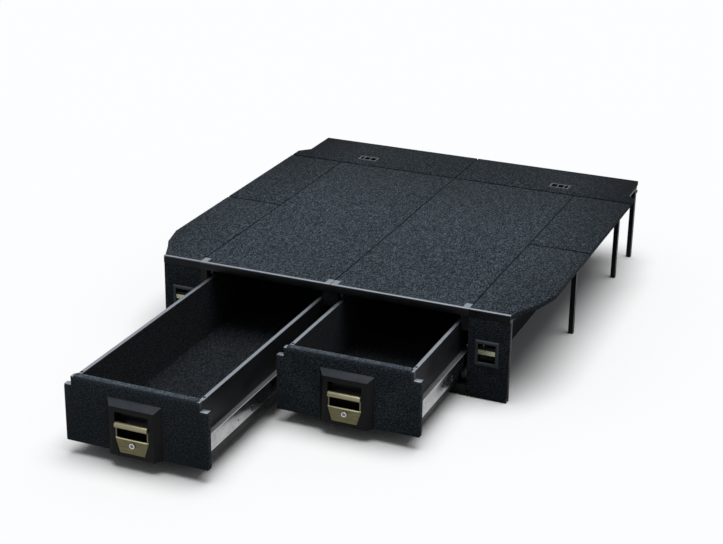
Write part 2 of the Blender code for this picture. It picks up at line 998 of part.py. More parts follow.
def build_infill_frame(name, hand, lip, finishes):
    """One welded frame: lip bar, rails under the boards, legs, door posts and hinge ears."""
    frame = prism(
        name, "X", lip_outline(), both(hand, infill_inside, infill_front_end), lip, finishes["black_steel"]
    )
    lap = weld_depth * 2
    middle_edge = clearance / 2
    cross_back = hatch_front + rail_width
    window_inside = infill_inside + rail_width
    window_front = lip_depth + rail_height
    rails_outline = [
        (infill_inside, lip_depth - lap),
        (infill_front_end - weld_depth, lip_depth - lap),
        (outer_rail_outside, pillar_length),
        (outer_rail_outside, rear_rail_front),
        (outer_rail_inside, rear_rail_front),
        (outer_rail_inside, cross_back),
        (middle_edge, cross_back),
        (middle_edge, hatch_front),
        (infill_inside, hatch_front),
    ]
    front_window_outline = [
        (window_inside, window_front),
        (infill_front_end - rail_width, window_front),
        (outer_rail_inside, pillar_length),
        (outer_rail_inside, wing_split - rail_width / 2),
        (window_inside, wing_split - rail_width / 2),
    ]
    rails = prism(f"{name}_rails", "Z", mirrored(hand, rails_outline), (rail_bottom, rail_top), lip)
    through = (rail_bottom - overrun, rail_top + overrun)
    front_window = prism(f"{name}_front_window", "Z", mirrored(hand, front_window_outline), through, lip)
    rear_window = block(
        f"{name}_rear_window",
        both(hand, window_inside, outer_rail_inside),
        (wing_split + rail_width / 2, hatch_front),
        through,
        lip,
    )
    cut(rails, front_window, rear_window)
    inner_leg = (middle_edge + weld_depth, middle_edge + weld_depth + leg_width)
    outer_leg = (outer_rail_outside - weld_depth - leg_width, outer_rail_outside - weld_depth)
    rear_leg = (rear_rail_back - weld_depth - leg_width, rear_rail_back - weld_depth)
    cross_leg = (hatch_front + weld_depth, hatch_front + weld_depth + leg_width)
    mid_leg = (wing_split - leg_width / 2, wing_split + leg_width / 2)
    rear_rail = (rear_rail_top - rear_rail_height, rear_rail_top)
    full = (0, rail_bottom + lap)
    spans = {
        "cross_inner_leg": (inner_leg, cross_leg, full),
        "cross_outer_leg": (outer_leg, cross_leg, full),
        "mid_outer_leg": (outer_leg, mid_leg, full),
        "rear_outer_leg": (outer_leg, (rear_rail_front - leg_width, rear_rail_front + lap), full),
        "rear_inner_leg": (inner_leg, rear_leg, (0, rear_rail_top - lap)),
        "rear_rail": ((middle_edge, outer_rail_outside), (rear_rail_front, rear_rail_back), rear_rail),
    }
    ear_y = (hatch_axle_place - hatch_ear_half, hatch_axle_place + hatch_ear_half - weld_depth)
    ear_z = (rear_rail_top - lap, hatch_axle_height + hatch_ear_half)
    for place, start in hatch_ear_starts():
        spans[f"{place}_hatch_ear"] = ((start, start + hatch_ear_thickness), ear_y, ear_z)
    ear_inner = (infill_inside + lap, infill_inside + door_ear_width)
    ear_outer = (infill_front_end - door_ear_width, infill_front_end - lap)
    for place, ear in (("inner", ear_inner), ("outer", ear_outer)):
        ear_front = door_axle_place - door_ear_half
        ear_top = door_axle_height + door_ear_half
        spans[f"{place}_door_ear"] = (ear, (ear_front, lip_depth - lap), (0, ear_top))
    pieces = [
        block(f"{name}_{part}", both(hand, *x_span), y_span, z_span, lip)
        for part, (x_span, y_span, z_span) in spans.items()
    ]
    foot_top = door_shoulder + door_swing_gap
    post_outline = [
        (door_back + clearance, foot_top),
        (door_back + clearance, lip_bottom + lap),
        (lip_depth - weld_depth, lip_bottom + lap),
        (lip_depth - weld_depth, 0),
        (door_back + door_swing_gap, 0),
        (door_back + door_swing_gap, foot_top),
    ]
    post_inner = (infill_inside + weld_depth, infill_inside + post_width)
    post_outer = (infill_front_end - post_width, infill_front_end - weld_depth)
    for place, post in (("inner", post_inner), ("outer", post_outer)):
        pieces.append(prism(f"{name}_{place}_post", "X", post_outline, both(hand, *post), lip))
    (_, inner_start), (_, outer_start) = hatch_ear_starts()
    hatch_hole = rod(
        f"{name}_hatch_hole",
        "X",
        (hatch_axle_place, hatch_axle_height),
        hatch_pin_radius + clearance,
        both(hand, inner_start - overrun, outer_start + hatch_ear_thickness + overrun),
        lip,
    )
    door_hole = rod(
        f"{name}_door_hole",
        "X",
        (door_axle_place, door_axle_height),
        door_pin_radius + clearance,
        both(hand, ear_inner[0] - overrun, ear_outer[1] + overrun),
        lip,
    )
    fuse(frame, rails, *pieces)
    cut(frame, hatch_hole, door_hole)


def hatch_ear_starts():
    """Where each hatch ear starts along X; the hatch's lugs stand between the two ears."""
    return (
        ("inner", hatch_hinge_inset),
        ("outer", outer_rail_outside - hatch_hinge_inset - hatch_ear_thickness),
    )


def build_infill_boards(label, hand, lip, finishes):
    front_edge = nosing_depth + clearance
    widen = wing_width - wing_front_width
    curve = [
        (infill_front_end + widen * across, front_edge + (pillar_length - front_edge) * back)
        for across, back in pillar_curve_shares
    ]
    split_front = wing_split - clearance / 2
    outline = [
        (infill_inside, front_edge),
        *curve,
        (infill_outside, split_front),
        (infill_inside, split_front),
    ]
    front_board = prism(
        f"{label}_infill_board_front",
        "Z",
        mirrored(hand, outline),
        (deck_bottom, deck_height),
        lip,
        finishes["carpet"],
    )
    rear_board = block(
        f"{label}_infill_board_rear",
        both(hand, infill_inside, infill_outside),
        (wing_split + clearance / 2, module_length),
        (deck_bottom, deck_height),
        lip,
        finishes["carpet"],
    )
    soften(front_board, board_edge_radius)
    soften(rear_board, board_edge_radius)


def build_hatch(label, hand, lip, finishes):
    hinge = make_pivot(f"{label}_hatch_hinge", (0, hatch_axle_place, hatch_axle_height), lip)
    step = module_length + rear_step_start
    outline = [
        (clearance / 2, hatch_front),
        (infill_outside, hatch_front),
        (infill_outside, step),
        (outer_rail_outside, step + rear_step_run),
        (outer_rail_outside, deck_length),
        (clearance / 2, deck_length),
    ]
    name = f"{label}_rear_hatch"
    hatch = prism(
        name, "Z", mirrored(hand, outline), (deck_bottom, deck_height), hinge, finishes["carpet"]
    )
    middle = (hand * pull_place_x, module_length + hatch_length * pull_place_share)
    opening = block(
        f"{name}_opening",
        (middle[0] - pull_width / 2 - clearance, middle[0] + pull_width / 2 + clearance),
        (middle[1] - pull_depth / 2 - clearance, middle[1] + pull_depth / 2 + clearance),
        (deck_height - pull_thickness - clearance, deck_height + overrun),
        hinge,
    )
    lugs = []
    pins = []
    (_, inner_start), (_, outer_start) = hatch_ear_starts()
    inner_face = inner_start + hatch_ear_thickness
    for place, face, inward in (("inner", inner_face, 1), ("outer", outer_start, -1)):
        near = face + inward * hatch_lug_gap
        far = near + inward * hatch_lug_thickness
        lugs.append(
            block(
                f"{name}_{place}_lug",
                both(hand, near, far),
                (hatch_axle_place - hatch_ear_half, hatch_axle_place + hatch_ear_half - weld_depth),
                (hatch_axle_height - hatch_ear_half, deck_bottom + weld_depth),
                hinge,
            )
        )
        pins.append(
            rod(
                f"{name}_{place}_pin",
                "X",
                (hatch_axle_place, hatch_axle_height),
                hatch_pin_radius,
                both(hand, near + inward * weld_depth, near - inward * (hatch_lug_gap + hatch_pin_reach)),
                hinge,
            )
        )
    soften(hatch, board_edge_radius)
    cut(hatch, opening)
    fuse(hatch, *lugs, *pins)
    build_hatch_pull(f"{label}_hatch_pull", hand, middle, hinge, finishes)


def build_hatch_pull(name, hand, middle, hinge, finishes):
    """Flush plate with two finger pockets and a third, narrower one for the latch on its outer side."""
    bottom = deck_height - pull_thickness
    plate = block(
        name,
        (middle[0] - pull_width / 2, middle[0] + pull_width / 2),
        (middle[1] - pull_depth / 2, middle[1] + pull_depth / 2),
        (bottom, deck_height),
        hinge,
        finishes["grey_plastic"],
    )
    inside = pull_width - pull_border * 2 - pull_web * 2
    latch_width = inside * pull_latch_share
    finger_width = (inside - latch_width) / 2
    start = -pull_width / 2 + pull_border
    pockets = []
    for index, width in enumerate((finger_width, finger_width, latch_width)):
        pockets.append(
            block(
                f"{name}_pocket_{index}",
                (middle[0] + hand * start, middle[0] + hand * (start + width)),
                (middle[1] - pull_depth / 2 + pull_border, middle[1] + pull_depth / 2 - pull_border),
                (bottom + pull_pocket_floor, deck_height + overrun),
                hinge,
            )
        )
        start += width + pull_web
    cut(plate, *pockets)


def build_door(label, hand, lip, finishes):
    hinge = make_pivot(f"{label}_door_hinge", (0, door_axle_place, door_axle_height), lip)
    name = f"{label}_infill_door"
    notch_inside = infill_inside + door_ear_width + door_ear_gap
    notch_outside = infill_front_end - door_ear_width - door_ear_gap
    outline = [
        (notch_inside, door_floor_gap),
        (notch_outside, door_floor_gap),
        (notch_outside, door_shoulder),
        (infill_front_end, door_shoulder),
        (infill_front_end, door_top),
        (door_inside, door_top),
        (door_inside, door_shoulder),
        (notch_inside, door_shoulder),
    ]
    door = prism(name, "Y", mirrored(hand, outline), (door_front, door_back), hinge, finishes["carpet"])
    middle = (hand * (module_width + door_pull_place_x), door_pull_place_z)
    opening = block(
        f"{name}_opening",
        (middle[0] - door_pan_width / 2 - clearance, middle[0] + door_pan_width / 2 + clearance),
        (door_front - overrun, door_back + overrun),
        (middle[1] - door_pan_height / 2 - clearance, middle[1] + door_pan_height / 2 + clearance),
        hinge,
    )
    pins = [
        rod(
            f"{name}_{place}_pin",
            "X",
            (door_axle_place, door_axle_height),
            door_pin_radius,
            both(hand, edge + inward * weld_depth, edge - inward * (door_ear_gap + door_pin_reach)),
            hinge,
        )
        for place, edge, inward in (("inner", notch_inside, 1), ("outer", notch_outside, -1))
    ]
    soften(door, board_edge_radius)
    cut(door, opening)
    fuse(door, *pins)
    build_door_pull(label, middle, hinge, finishes)


def build_door_pull(label, middle, hinge, finishes):
    """Moulded surround with a recess through the door, and a paddle that turns about its upper edge."""
    name = f"{label}_door_pull_bezel"
    face = door_front - door_bezel_proud
    shape = bmesh.new()
    rings = []
    levels = (
        (door_front - clearance, 0),
        (door_front - door_bezel_chamfer / 2, 0),
        (face, door_bezel_chamfer),
    )
    for y, shrink in levels:
        half_width = door_bezel_width / 2 - shrink
        half_height = door_bezel_height / 2 - shrink
        ring = []
        for across, up in ((-1, -1), (1, -1), (1, 1), (-1, 1)):
            ring.append(shape.verts.new((middle[0] + across * half_width, y, middle[1] + up * half_height)))
        rings.append(ring)
    shape.faces.new(rings[0])
    shape.faces.new(rings[-1])
    for lower, upper in zip(rings, rings[1:]):
        for index in range(len(lower)):
            following = (index + 1) % len(lower)
            shape.faces.new((lower[index], lower[following], upper[following], upper[index]))
    bezel = add_piece(name, shape, hinge, finishes["black_plastic"])
    pan_x = (middle[0] - door_pan_width / 2, middle[0] + door_pan_width / 2)
    pan_z = (middle[1] - door_pan_height / 2, middle[1] + door_pan_height / 2)
    pan_back = door_front + door_pan_depth
    pan = block(f"{name}_pan", pan_x, (door_front - clearance - weld_depth, pan_back), pan_z, hinge)
    hollow = block(
        f"{name}_hollow",
        (pan_x[0] + door_pan_wall, pan_x[1] - door_pan_wall),
        (face - overrun, pan_back - door_pan_wall),
        (pan_z[0] + door_pan_wall, pan_z[1] - door_pan_wall),
        hinge,
    )
    paddle_half = door_pan_width / 2 - door_pan_wall - paddle_gap
    paddle_top = middle[1] + paddle_place_z + paddle_height / 2
    axle = (door_front, paddle_top - paddle_thickness / 2)
    pin_half = paddle_half + paddle_gap + paddle_pin_reach
    pin_hole = rod(
        f"{name}_pin_hole",
        "X",
        axle,
        paddle_pin_radius + clearance,
        (middle[0] - pin_half - clearance, middle[0] + pin_half + clearance),
        hinge,
    )
    fuse(bezel, pan)
    cut(bezel, hollow, pin_hole)
    paddle_hinge = make_pivot(f"{label}_paddle_hinge", (middle[0], *axle), hinge)
    lean = paddle_height * paddle_tilt_share
    foot = paddle_top - paddle_height
    paddle = prism(
        f"{label}_door_pull_paddle",
        "X",
        [
            (axle[0] - paddle_thickness / 2, paddle_top),
            (axle[0] - paddle_thickness / 2, paddle_top - lean),
            (axle[0] - paddle_thickness / 2 + weld_depth, foot),
            (axle[0] + paddle_thickness / 2, foot),
            (axle[0] + paddle_thickness / 2, paddle_top),
        ],
        (middle[0] - paddle_half, middle[0] + paddle_half),
        paddle_hinge,
        finishes["olive_metal"],
    )
    pin = rod(
        f"{paddle.name}_pin",
        "X",
        axle,
        paddle_pin_radius,
        (middle[0] - pin_half, middle[0] + pin_half),
        paddle_hinge,
    )
    fuse(paddle, pin)


def main():
    clear_scene()
    finishes = make_finishes()
    lip = make_frame("front_lip", (0, lip_place, 0))
    for label, hand, pull in (("left", -1, left_drawer_pull), ("right", 1, right_drawer_pull)):
        module = make_frame(f"{label}_module", (hand * module_width / 2, 0, 0), lip)
        build_module_frame(label, hand, module, finishes)
        build_drawer(label, hand, pull, module, finishes)
        build_infill_frame(f"{label}_infill_frame", hand, lip, finishes)
        build_infill_boards(label, hand, lip, finishes)
        build_hatch(label, hand, lip, finishes)
        build_door(label, hand, lip, finishes)


main()
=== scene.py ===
"""Dresses the twin drawer system: finishes, refined metalwork, linings, fasteners, stage and camera."""

import json
import math

import bmesh
import bpy
from bpy.props import FloatProperty, FloatVectorProperty, PointerProperty
from bpy.types import Operator, Panel, PropertyGroup
from mathutils import Matrix, Vector

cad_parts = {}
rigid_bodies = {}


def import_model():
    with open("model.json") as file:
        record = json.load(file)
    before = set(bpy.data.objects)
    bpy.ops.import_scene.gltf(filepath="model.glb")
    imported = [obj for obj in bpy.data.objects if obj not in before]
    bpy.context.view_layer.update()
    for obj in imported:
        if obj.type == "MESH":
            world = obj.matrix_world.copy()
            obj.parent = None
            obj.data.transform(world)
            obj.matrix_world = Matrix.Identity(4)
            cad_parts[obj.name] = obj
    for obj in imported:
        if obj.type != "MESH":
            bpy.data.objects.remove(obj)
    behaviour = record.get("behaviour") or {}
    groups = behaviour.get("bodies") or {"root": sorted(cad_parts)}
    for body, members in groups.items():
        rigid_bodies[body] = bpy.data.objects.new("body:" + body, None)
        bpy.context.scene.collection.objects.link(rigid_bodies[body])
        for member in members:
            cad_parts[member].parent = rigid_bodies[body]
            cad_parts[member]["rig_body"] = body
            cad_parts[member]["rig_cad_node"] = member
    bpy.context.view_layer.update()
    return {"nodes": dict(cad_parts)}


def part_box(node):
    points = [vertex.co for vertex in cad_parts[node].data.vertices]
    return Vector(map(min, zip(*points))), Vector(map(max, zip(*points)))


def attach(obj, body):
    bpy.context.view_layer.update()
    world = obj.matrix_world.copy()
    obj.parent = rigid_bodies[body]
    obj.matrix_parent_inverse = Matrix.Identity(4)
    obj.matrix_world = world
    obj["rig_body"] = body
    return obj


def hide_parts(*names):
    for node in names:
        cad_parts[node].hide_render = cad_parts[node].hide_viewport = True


bl_info = {
    "name": "Ute drawer system",
    "version": (1, 0, 0),
    "blender": (4, 5, 0),
    "location": "View3D > Sidebar > Drawers",
    "description": "Builds the finishes and fine pieces of a twin drawer system for a ute",
    "category": "Object",
}

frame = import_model()
SIDES = {"left": -1, "right": 1}
UP = (0, 0, 1)
ACROSS = (1, 0, 0)

# Faces that turn by less than this are shaded as one.
SMOOTH_ANGLE = math.radians(35)
# Faces of the frame that turn by less than this are merged into one.
FLAT_ANGLE = math.radians(0.5)
# Points of the frame that are nearer than this are merged into one.
WELD = 0.00001
# A point this near to a plane lies on it.
ON_PLANE = 0.0002
# A point this near to a plane belongs to the edge there.
NEARBY = 0.001
# How far a cutter reaches past what it cuts.
OVERRUN = 0.01
# How squarely a face has to look in a direction to count.
FACING_SHARE = 0.9
# Width of the rim round a screw's socket, as a share of the screw's radius.
SOCKET_SHARE = 0.45

made_finishes = {}


def length(name, description, default):
    """A length in metres that a user can change."""
    return FloatProperty(name=name, description=description, default=default, min=0, unit="LENGTH")


def colour(name, description, default):
    """A colour that a user can change."""
    return FloatVectorProperty(
        name=name, description=description, default=default, min=0, max=1, size=3, subtype="COLOR"
    )


class DrawerSystemSizes(PropertyGroup):
    """Sizes of the pieces that this script adds to the frame"""

    lining: length("Drawer lining", "Thickness of the carpet inside a drawer", 0.0018)
    edge: length("Folded edge", "Radius along the edges of folded metal", 0.0006)
    rolled_edge: length("Rolled edge", "Radius along the edges of the runners", 0.0019)
    moulded_edge: length("Moulded edge", "Radius along the edges of moulded plastic", 0.0009)
    pressed_edge: length("Pressed edge", "Radius along the edges of the pull handles", 0.0011)
    foot_width: length("Handle foot", "Width of a pull handle at its foot", 0.086)
    kink_height: length("Handle kink", "Height where the handle starts to narrow", 0.101435)
    slot_foot: length("Slot foot", "Height where the handle's slot starts", 0.108)
    slot_top: length("Slot top", "Height where the handle's slot ends", 0.141)
    arm_width: length("Handle arm", "Width of the arms beside the slot", 0.005)
    plate_thickness: length("Handle plate", "Thickness of the handle plate", 0.004)
    border: length("Handle border", "Width of the raised border of the handle plate", 0.0032)
    border_rise: length("Border rise", "How far the border stands above the plate", 0.0009)
    grip_radius: length("Grip", "Radius of the grip bar", 0.0098)
    bead_radius: length("Slot bead", "Radius of the rolled edge under the slot", 0.0033)
    lock_radius: length("Lock", "Radius of a lock barrel", 0.0089)
    lock_height: length("Lock height", "Height of a lock above the foot of its handle", 0.03)
    plug_radius: length("Lock plug", "Radius of the part of a lock that takes the key", 0.0056)
    corner_plate: length("Corner plate", "Thickness of the plates folded over the corners of a front", 0.0016)
    step_depth: length("Step", "Depth of the notches at the top corners of a front", 0.0369)
    shoulder_depth: length("Shoulder", "Depth of the shoulders beside the notches", 0.0069)
    shoulder_width: length("Shoulder width", "Width of a corner plate on its shoulder", 0.0097)
    neck: length("Neck", "From the middle of a drawer to the wall of a notch", 0.2213)
    step_reach: length("Step reach", "From the middle of a drawer to the far edge of a corner plate", 0.2476)
    rim_screw: length("Rim screw", "Radius of a small screw in a rim", 0.0044)
    nosing_roll: length("Nosing roll", "Radius of the front edge of the strip along the deck", 0.0032)
    nosing_reach: length("Nosing reach", "How far a strip reaches back over the carpet's fold", 0.005)
    nosing_joint: length("Nosing joint", "Gap that each module gives to the joint of the strips", 0.0009)
    nosing_depth: length("Nosing depth", "Depth of the strip along the wings", 0.0045)
    nosing_height: length("Nosing height", "Height of the strip along the wings", 0.0048)
    screw_radius: length("Screw", "Radius of a screw head", 0.0042)
    seam: length("Seam", "Width that each board gives to a seam along the boards", 0.0023)
    cross_seam: length("Cross seam", "Width that each board gives to a seam across", 0.0050)
    seam_depth: length("Seam depth", "How far down the top edges of the boards lean back", 0.006)


class DrawerSystemColours(PropertyGroup):
    """Colours of the finishes"""

    carpet: colour("Carpet", "Charcoal carpet on the boards", (0.0396, 0.0505, 0.0615))
    # Darker than the boards' carpet, as painted shade on the upright fronts.
    front: colour("Front carpet", "Carpet on the fronts of the drawers", (0.0340, 0.0425, 0.0515))
    # Much darker than the boards' carpet, as painted shade on the doors.
    door: colour("Door carpet", "Carpet on the small doors", (0.0232, 0.0288, 0.0347))
    lining: colour("Lining", "Carpet inside the drawers", (0.0152, 0.0180, 0.0218))
    steel: colour("Black steel", "Powder coat of the frames", (0.009, 0.0095, 0.0105))
    aluminium: colour("Aluminium", "Strips along the front edge", (0.224, 0.246, 0.275))
    galvanised: colour("Galvanised", "Runners of the drawers", (0.36, 0.37, 0.375))
    plastic: colour("Black plastic", "Surrounds of the handles", (0.0065, 0.0070, 0.0075))
    # Painted highlight on the upward slopes of the mouldings.
    dust: colour("Slope highlight", "Painted highlight on the slopes of the mouldings", (0.043, 0.049, 0.057))
    frame_plastic: colour("Door frame plastic", "Surrounds of the small door pulls", (0.048, 0.055, 0.064))
    grey_plastic: colour("Grey plastic", "Pulls of the hatches", (0.085, 0.090, 0.098))
    olive: colour("Olive", "Coating of the pull handles", (0.115, 0.105, 0.052))
    # Olive made paler as painted highlight on the grip and round the bead.
    rubbed_olive: colour("Olive highlight", "Painted highlight on the grip and round the bead", (0.27, 0.255, 0.155))
    pale_gold: colour("Pale gold", "Coating of the small door paddles", (0.34, 0.34, 0.225))
    chrome: colour("Chrome", "Lock barrels", (0.72, 0.74, 0.77))
    plug: colour("Lock plug", "Dull steel of the lock plugs", (0.19, 0.195, 0.20))
    nylon: colour("Nylon", "Rear rollers", (0.55, 0.54, 0.50))
    dark_nylon: colour("Dark nylon", "Front rollers", (0.085, 0.090, 0.092))
    zinc: colour("Zinc", "Hooks, pins and screws", (0.42, 0.42, 0.40))
    floor: colour("Floor", "Floor under the part", (0.98, 0.985, 0.99))


class Field:
    """A number that varies over a surface; arithmetic on it adds the nodes that work it out"""

    def __init__(self, finish, socket):
        self.finish = finish
        self.socket = socket

    def math(self, operation, *values):
        return self.finish.add("ShaderNodeMath", {"operation": operation}, *values)

    def __add__(self, other):
        return self.math("ADD", self, other)

    def __sub__(self, other):
        return self.math("SUBTRACT", self, other)

    def __rsub__(self, other):
        return self.math("SUBTRACT", other, self)

    def __mul__(self, other):
        return self.math("MULTIPLY", self, other)

    def __abs__(self):
        return self.math("ABSOLUTE", self)

    __radd__ = __add__
    __rmul__ = __mul__

    def spread(self, low, high, to_low=0.0, to_high=1.0):
        """The part of the range between low and high, stretched to another range and held inside it."""
        return self.finish.add("ShaderNodeMapRange", None, self, low, high, to_low, to_high)


class Finish:
    """A material on one principled shader"""

    def __init__(self, name, base, roughness, metallic=0.0, **constants):
        self.material = bpy.data.materials.new(name)
        self.material.use_nodes = True
        self.tree = self.material.node_tree
        self.tree.nodes.clear()
        self.shader = self.tree.nodes.new("ShaderNodeBsdfPrincipled")
        output = self.tree.nodes.new("ShaderNodeOutputMaterial")
        self.tree.links.new(self.shader.outputs[0], output.inputs["Surface"])
        self.material.diffuse_color = (*base, 1)
        self.set("Base Color", (*base, 1))
        self.set("Roughness", roughness)
        self.set("Metallic", metallic)
        for socket, value in constants.items():
            self.set(socket.replace("_", " "), value)
        self.place = self.add("ShaderNodeTexCoord", output="Object")

    def feed(self, socket, value):
        """Links a socket to a field, or gives it a value."""
        if isinstance(value, Field):
            self.tree.links.new(value.socket, socket)
        else:
            socket.default_value = value

    def set(self, socket, value):
        self.feed(self.shader.inputs[socket], value)

    def add(self, kind, settings=None, *values, output=0, **named):
        """Any other node: its type, its settings, and the values or links of its sockets."""
        node = self.tree.nodes.new(kind)
        for name, value in (settings or {}).items():
            if name == "stops":
                self.fill_ramp(node.color_ramp, value)
            else:
                setattr(node, name, value)
        for index, value in enumerate(values):
            self.feed(node.inputs[index], value)
        for name, value in named.items():
            self.feed(node.inputs[name.replace("_", " ")], value)
        return Field(self, node.outputs[output])

    def fill_ramp(self, ramp, stops):
        """Gives a colour ramp its stops, each a position and a colour."""
        while len(ramp.elements) < len(stops):
            ramp.elements.new(1)
        for element, (position, tint) in zip(ramp.elements, stops):
            element.position = position
            element.color = (*tint, 1)

    def stretched(self, *scale):
        """The place on the piece, scaled along each axis, for a pattern that runs one way."""
        return self.add("ShaderNodeMapping", None, self.place, Scale=scale)

    def noise(self, scale, detail, roughness, where=None):
        sockets = {"Vector": where or self.place, "Scale": scale, "Detail": detail, "Roughness": roughness}
        return self.add("ShaderNodeTexNoise", **sockets)

    def along(self, axis, where=None):
        """How far along an axis the surface lies."""
        return self.add("ShaderNodeSeparateXYZ", None, where or self.place, output=axis)

    def upward(self):
        """One where the surface looks up, and nothing where it stands upright."""
        return self.along("Z", self.add("ShaderNodeTexCoord", output="Normal"))

    def ramp(self, value, *stops):
        return self.add("ShaderNodeValToRGB", {"stops": stops}, value)

    def mix(self, factor, first, second):
        """A blend of two colours, which a mix node keeps in sockets 6 and 7 and gives out at output 2."""
        node = self.tree.nodes.new("ShaderNodeMix")
        node.data_type = "RGBA"
        self.feed(node.inputs[0], factor)
        for socket, value in ((node.inputs[6], first), (node.inputs[7], second)):
            self.feed(socket, value if isinstance(value, Field) else (*value, 1))
        return Field(self, node.outputs[2])

    def surface(self, shade, roughness, height, distance, strength):
        """Gives the shader its colour, its roughness and a relief of that height; returns the material."""
        self.set("Base Color", shade)
        self.set("Roughness", roughness)
        relief = self.add("ShaderNodeBump", None, Strength=strength, Distance=distance, Height=height)
        self.set("Normal", relief)
        return self.material


def scaled(tint, share):
    """A colour made darker or brighter by a share."""
    return tuple(min(1.0, value * share) for value in tint)


def carpet_finish(name, tint, fold=None, shade_to_back=False, fine=1.0):
    """Needle-felt of tufts, fibres and flecks, with a painted highlight at the top of a fold; with painted
    shade it darkens to the back and wings.
    """
    finish = Finish(name, tint, 0.95, Sheen_Weight=0.03, Sheen_Roughness=0.5, Specular_IOR_Level=0.03)
    tuft = finish.noise(fine, 3, 0.7, finish.stretched(265, 108, 400))
    clump = finish.noise(fine, 2, 0.6, finish.stretched(115, 48, 200))
    fibre = finish.noise(820, 3, 0.7)
    fleck = finish.noise(1.0, 1, 0.5, finish.stretched(390, 170, 390))
    wear_and_edge_highlight = finish.noise(6, 3, 0.55)
    tone = tuft * 0.7 + clump * 0.1 + fibre * 0.2
    shade = finish.ramp(
        tone.spread(0.41, 0.61),
        (0.0, scaled(tint, 0.10)),
        (0.3, scaled(tint, 0.42)),
        (0.6, scaled(tint, 1.1)),
        (0.85, scaled(tint, 2.1)),
        (1.0, scaled(tint, 3.4)),
    )
    shade = finish.mix(fleck.spread(0.67, 0.74, 0, 0.65), shade, scaled(tint, 4.6))
    shade = finish.mix(wear_and_edge_highlight.spread(0.35, 0.7, 0, 0.14), shade, scaled(tint, 0.8))
    # Painted highlight: a band down from the top edge is blended towards a much paler tone.
    if fold:
        top, reach = fold
        painted_top_highlight = finish.mix(tone.spread(0.43, 0.6), scaled(tint, 0.8), scaled(tint, 3.8))
        shade = finish.mix(finish.along("Z").spread(top - reach, top, 0, 0.75), shade, painted_top_highlight)
    # Painted shade: the carpet darkens towards the back of the deck and towards the outer edges of the wings.
    if shade_to_back:
        back_start, back_end = 0.45, 1.23
        wing_start, wing_end = 0.47, 0.74
        back = finish.along("Y").spread(back_start, back_end, 0, 0.68)
        wings = abs(finish.along("X")).spread(wing_start, wing_end, 0, 0.4)
        shade = finish.mix(back + wings, shade, scaled(tint, 0.12))
    rough = fibre.spread(0.3, 0.7, 0.85, 1.0)
    return finish.surface(shade, rough, fibre * 0.4 + tuft + clump * 0.5, 0.0014, 0.8)


def powder_finish(name, tint):
    """Satin powder coat with a fine orange peel and rubbed patches."""
    finish = Finish(name, tint, 0.34, Specular_IOR_Level=0.1)
    peel = finish.noise(620, 2, 0.5)
    rubbed_and_highlight = finish.noise(14, 4, 0.6)
    shade = finish.mix(rubbed_and_highlight.spread(0.4, 0.75), tint, scaled(tint, 1.7))
    rough = rubbed_and_highlight.spread(0.3, 0.75, 0.26, 0.42) + peel * 0.08
    return finish.surface(shade, rough, peel, 0.0002, 0.5)


def drawn_finish(name, tint, painted_side_shade=1.0):
    """Satin aluminium with drawing lines and handling marks, darker where it stands upright as painted shade.
    """
    finish = Finish(name, tint, 0.38, 1.0)
    lines = finish.noise(1.0, 3, 0.6, finish.stretched(6, 900, 900))
    marks = finish.noise(23, 4, 0.65)
    shade = finish.mix(lines.spread(0.3, 0.7), scaled(tint, 0.88), scaled(tint, 1.08))
    shade = finish.mix(marks.spread(0.52, 0.8, 0, 0.6), shade, scaled(tint, 0.62))
    upward = finish.upward()
    # Painted shade: upright faces are darkened to a share of the tint.
    shade = finish.mix(upward.spread(0.3, 0.85), scaled(tint, painted_side_shade), shade)
    rough = lines.spread(0.3, 0.7, 0.32, 0.5)
    return finish.surface(shade, rough, lines, 0.00015, 0.6)


def galvanised_finish(name, tint):
    """Zinc-coated sheet: spangles, rolling lines and dull streaks, with painted shade where it lies level and
    a painted highlight on its rounded edges.
    """
    finish = Finish(name, tint, 0.22, 1.0)
    spangle = finish.add("ShaderNodeTexVoronoi", output="Color", Vector=finish.place, Scale=95)
    grey = finish.add("ShaderNodeRGBToBW", None, spangle)
    cloud = finish.noise(16, 4, 0.6)
    rolled = finish.noise(1.0, 3, 0.6, finish.stretched(700, 9, 700))
    upward = finish.upward()
    shade = finish.mix(grey, scaled(tint, 0.76), scaled(tint, 1.16))
    shade = finish.mix(cloud.spread(0.42, 0.72, 0, 0.75), shade, scaled(tint, 0.5))
    shade = finish.mix(rolled.spread(0.45, 0.65, 0, 0.5), shade, scaled(tint, 1.45))
    # Painted shade: faces that look straight up are darkened and made less metallic.
    flat_painted_shade = upward.spread(0.9, 0.98)
    # Painted highlight: faces that slope upwards, as on the rounded edges, are made paler and less metallic.
    wear_and_edge_highlight = upward.spread(0.2, 0.4) * (1 - flat_painted_shade)
    shade = finish.mix(flat_painted_shade * 0.8, shade, scaled(tint, 0.36))
    finish.set("Metallic", 1 - flat_painted_shade * 0.7 - wear_and_edge_highlight * 0.6)
    shade = finish.mix(wear_and_edge_highlight * 0.8, shade, scaled(tint, 2.2))
    rough = grey.spread(0, 1, 0.13, 0.22) + cloud * 0.06
    return finish.surface(shade, rough, rolled * 0.8 + grey * 0.2, 0.00003, 0.4)


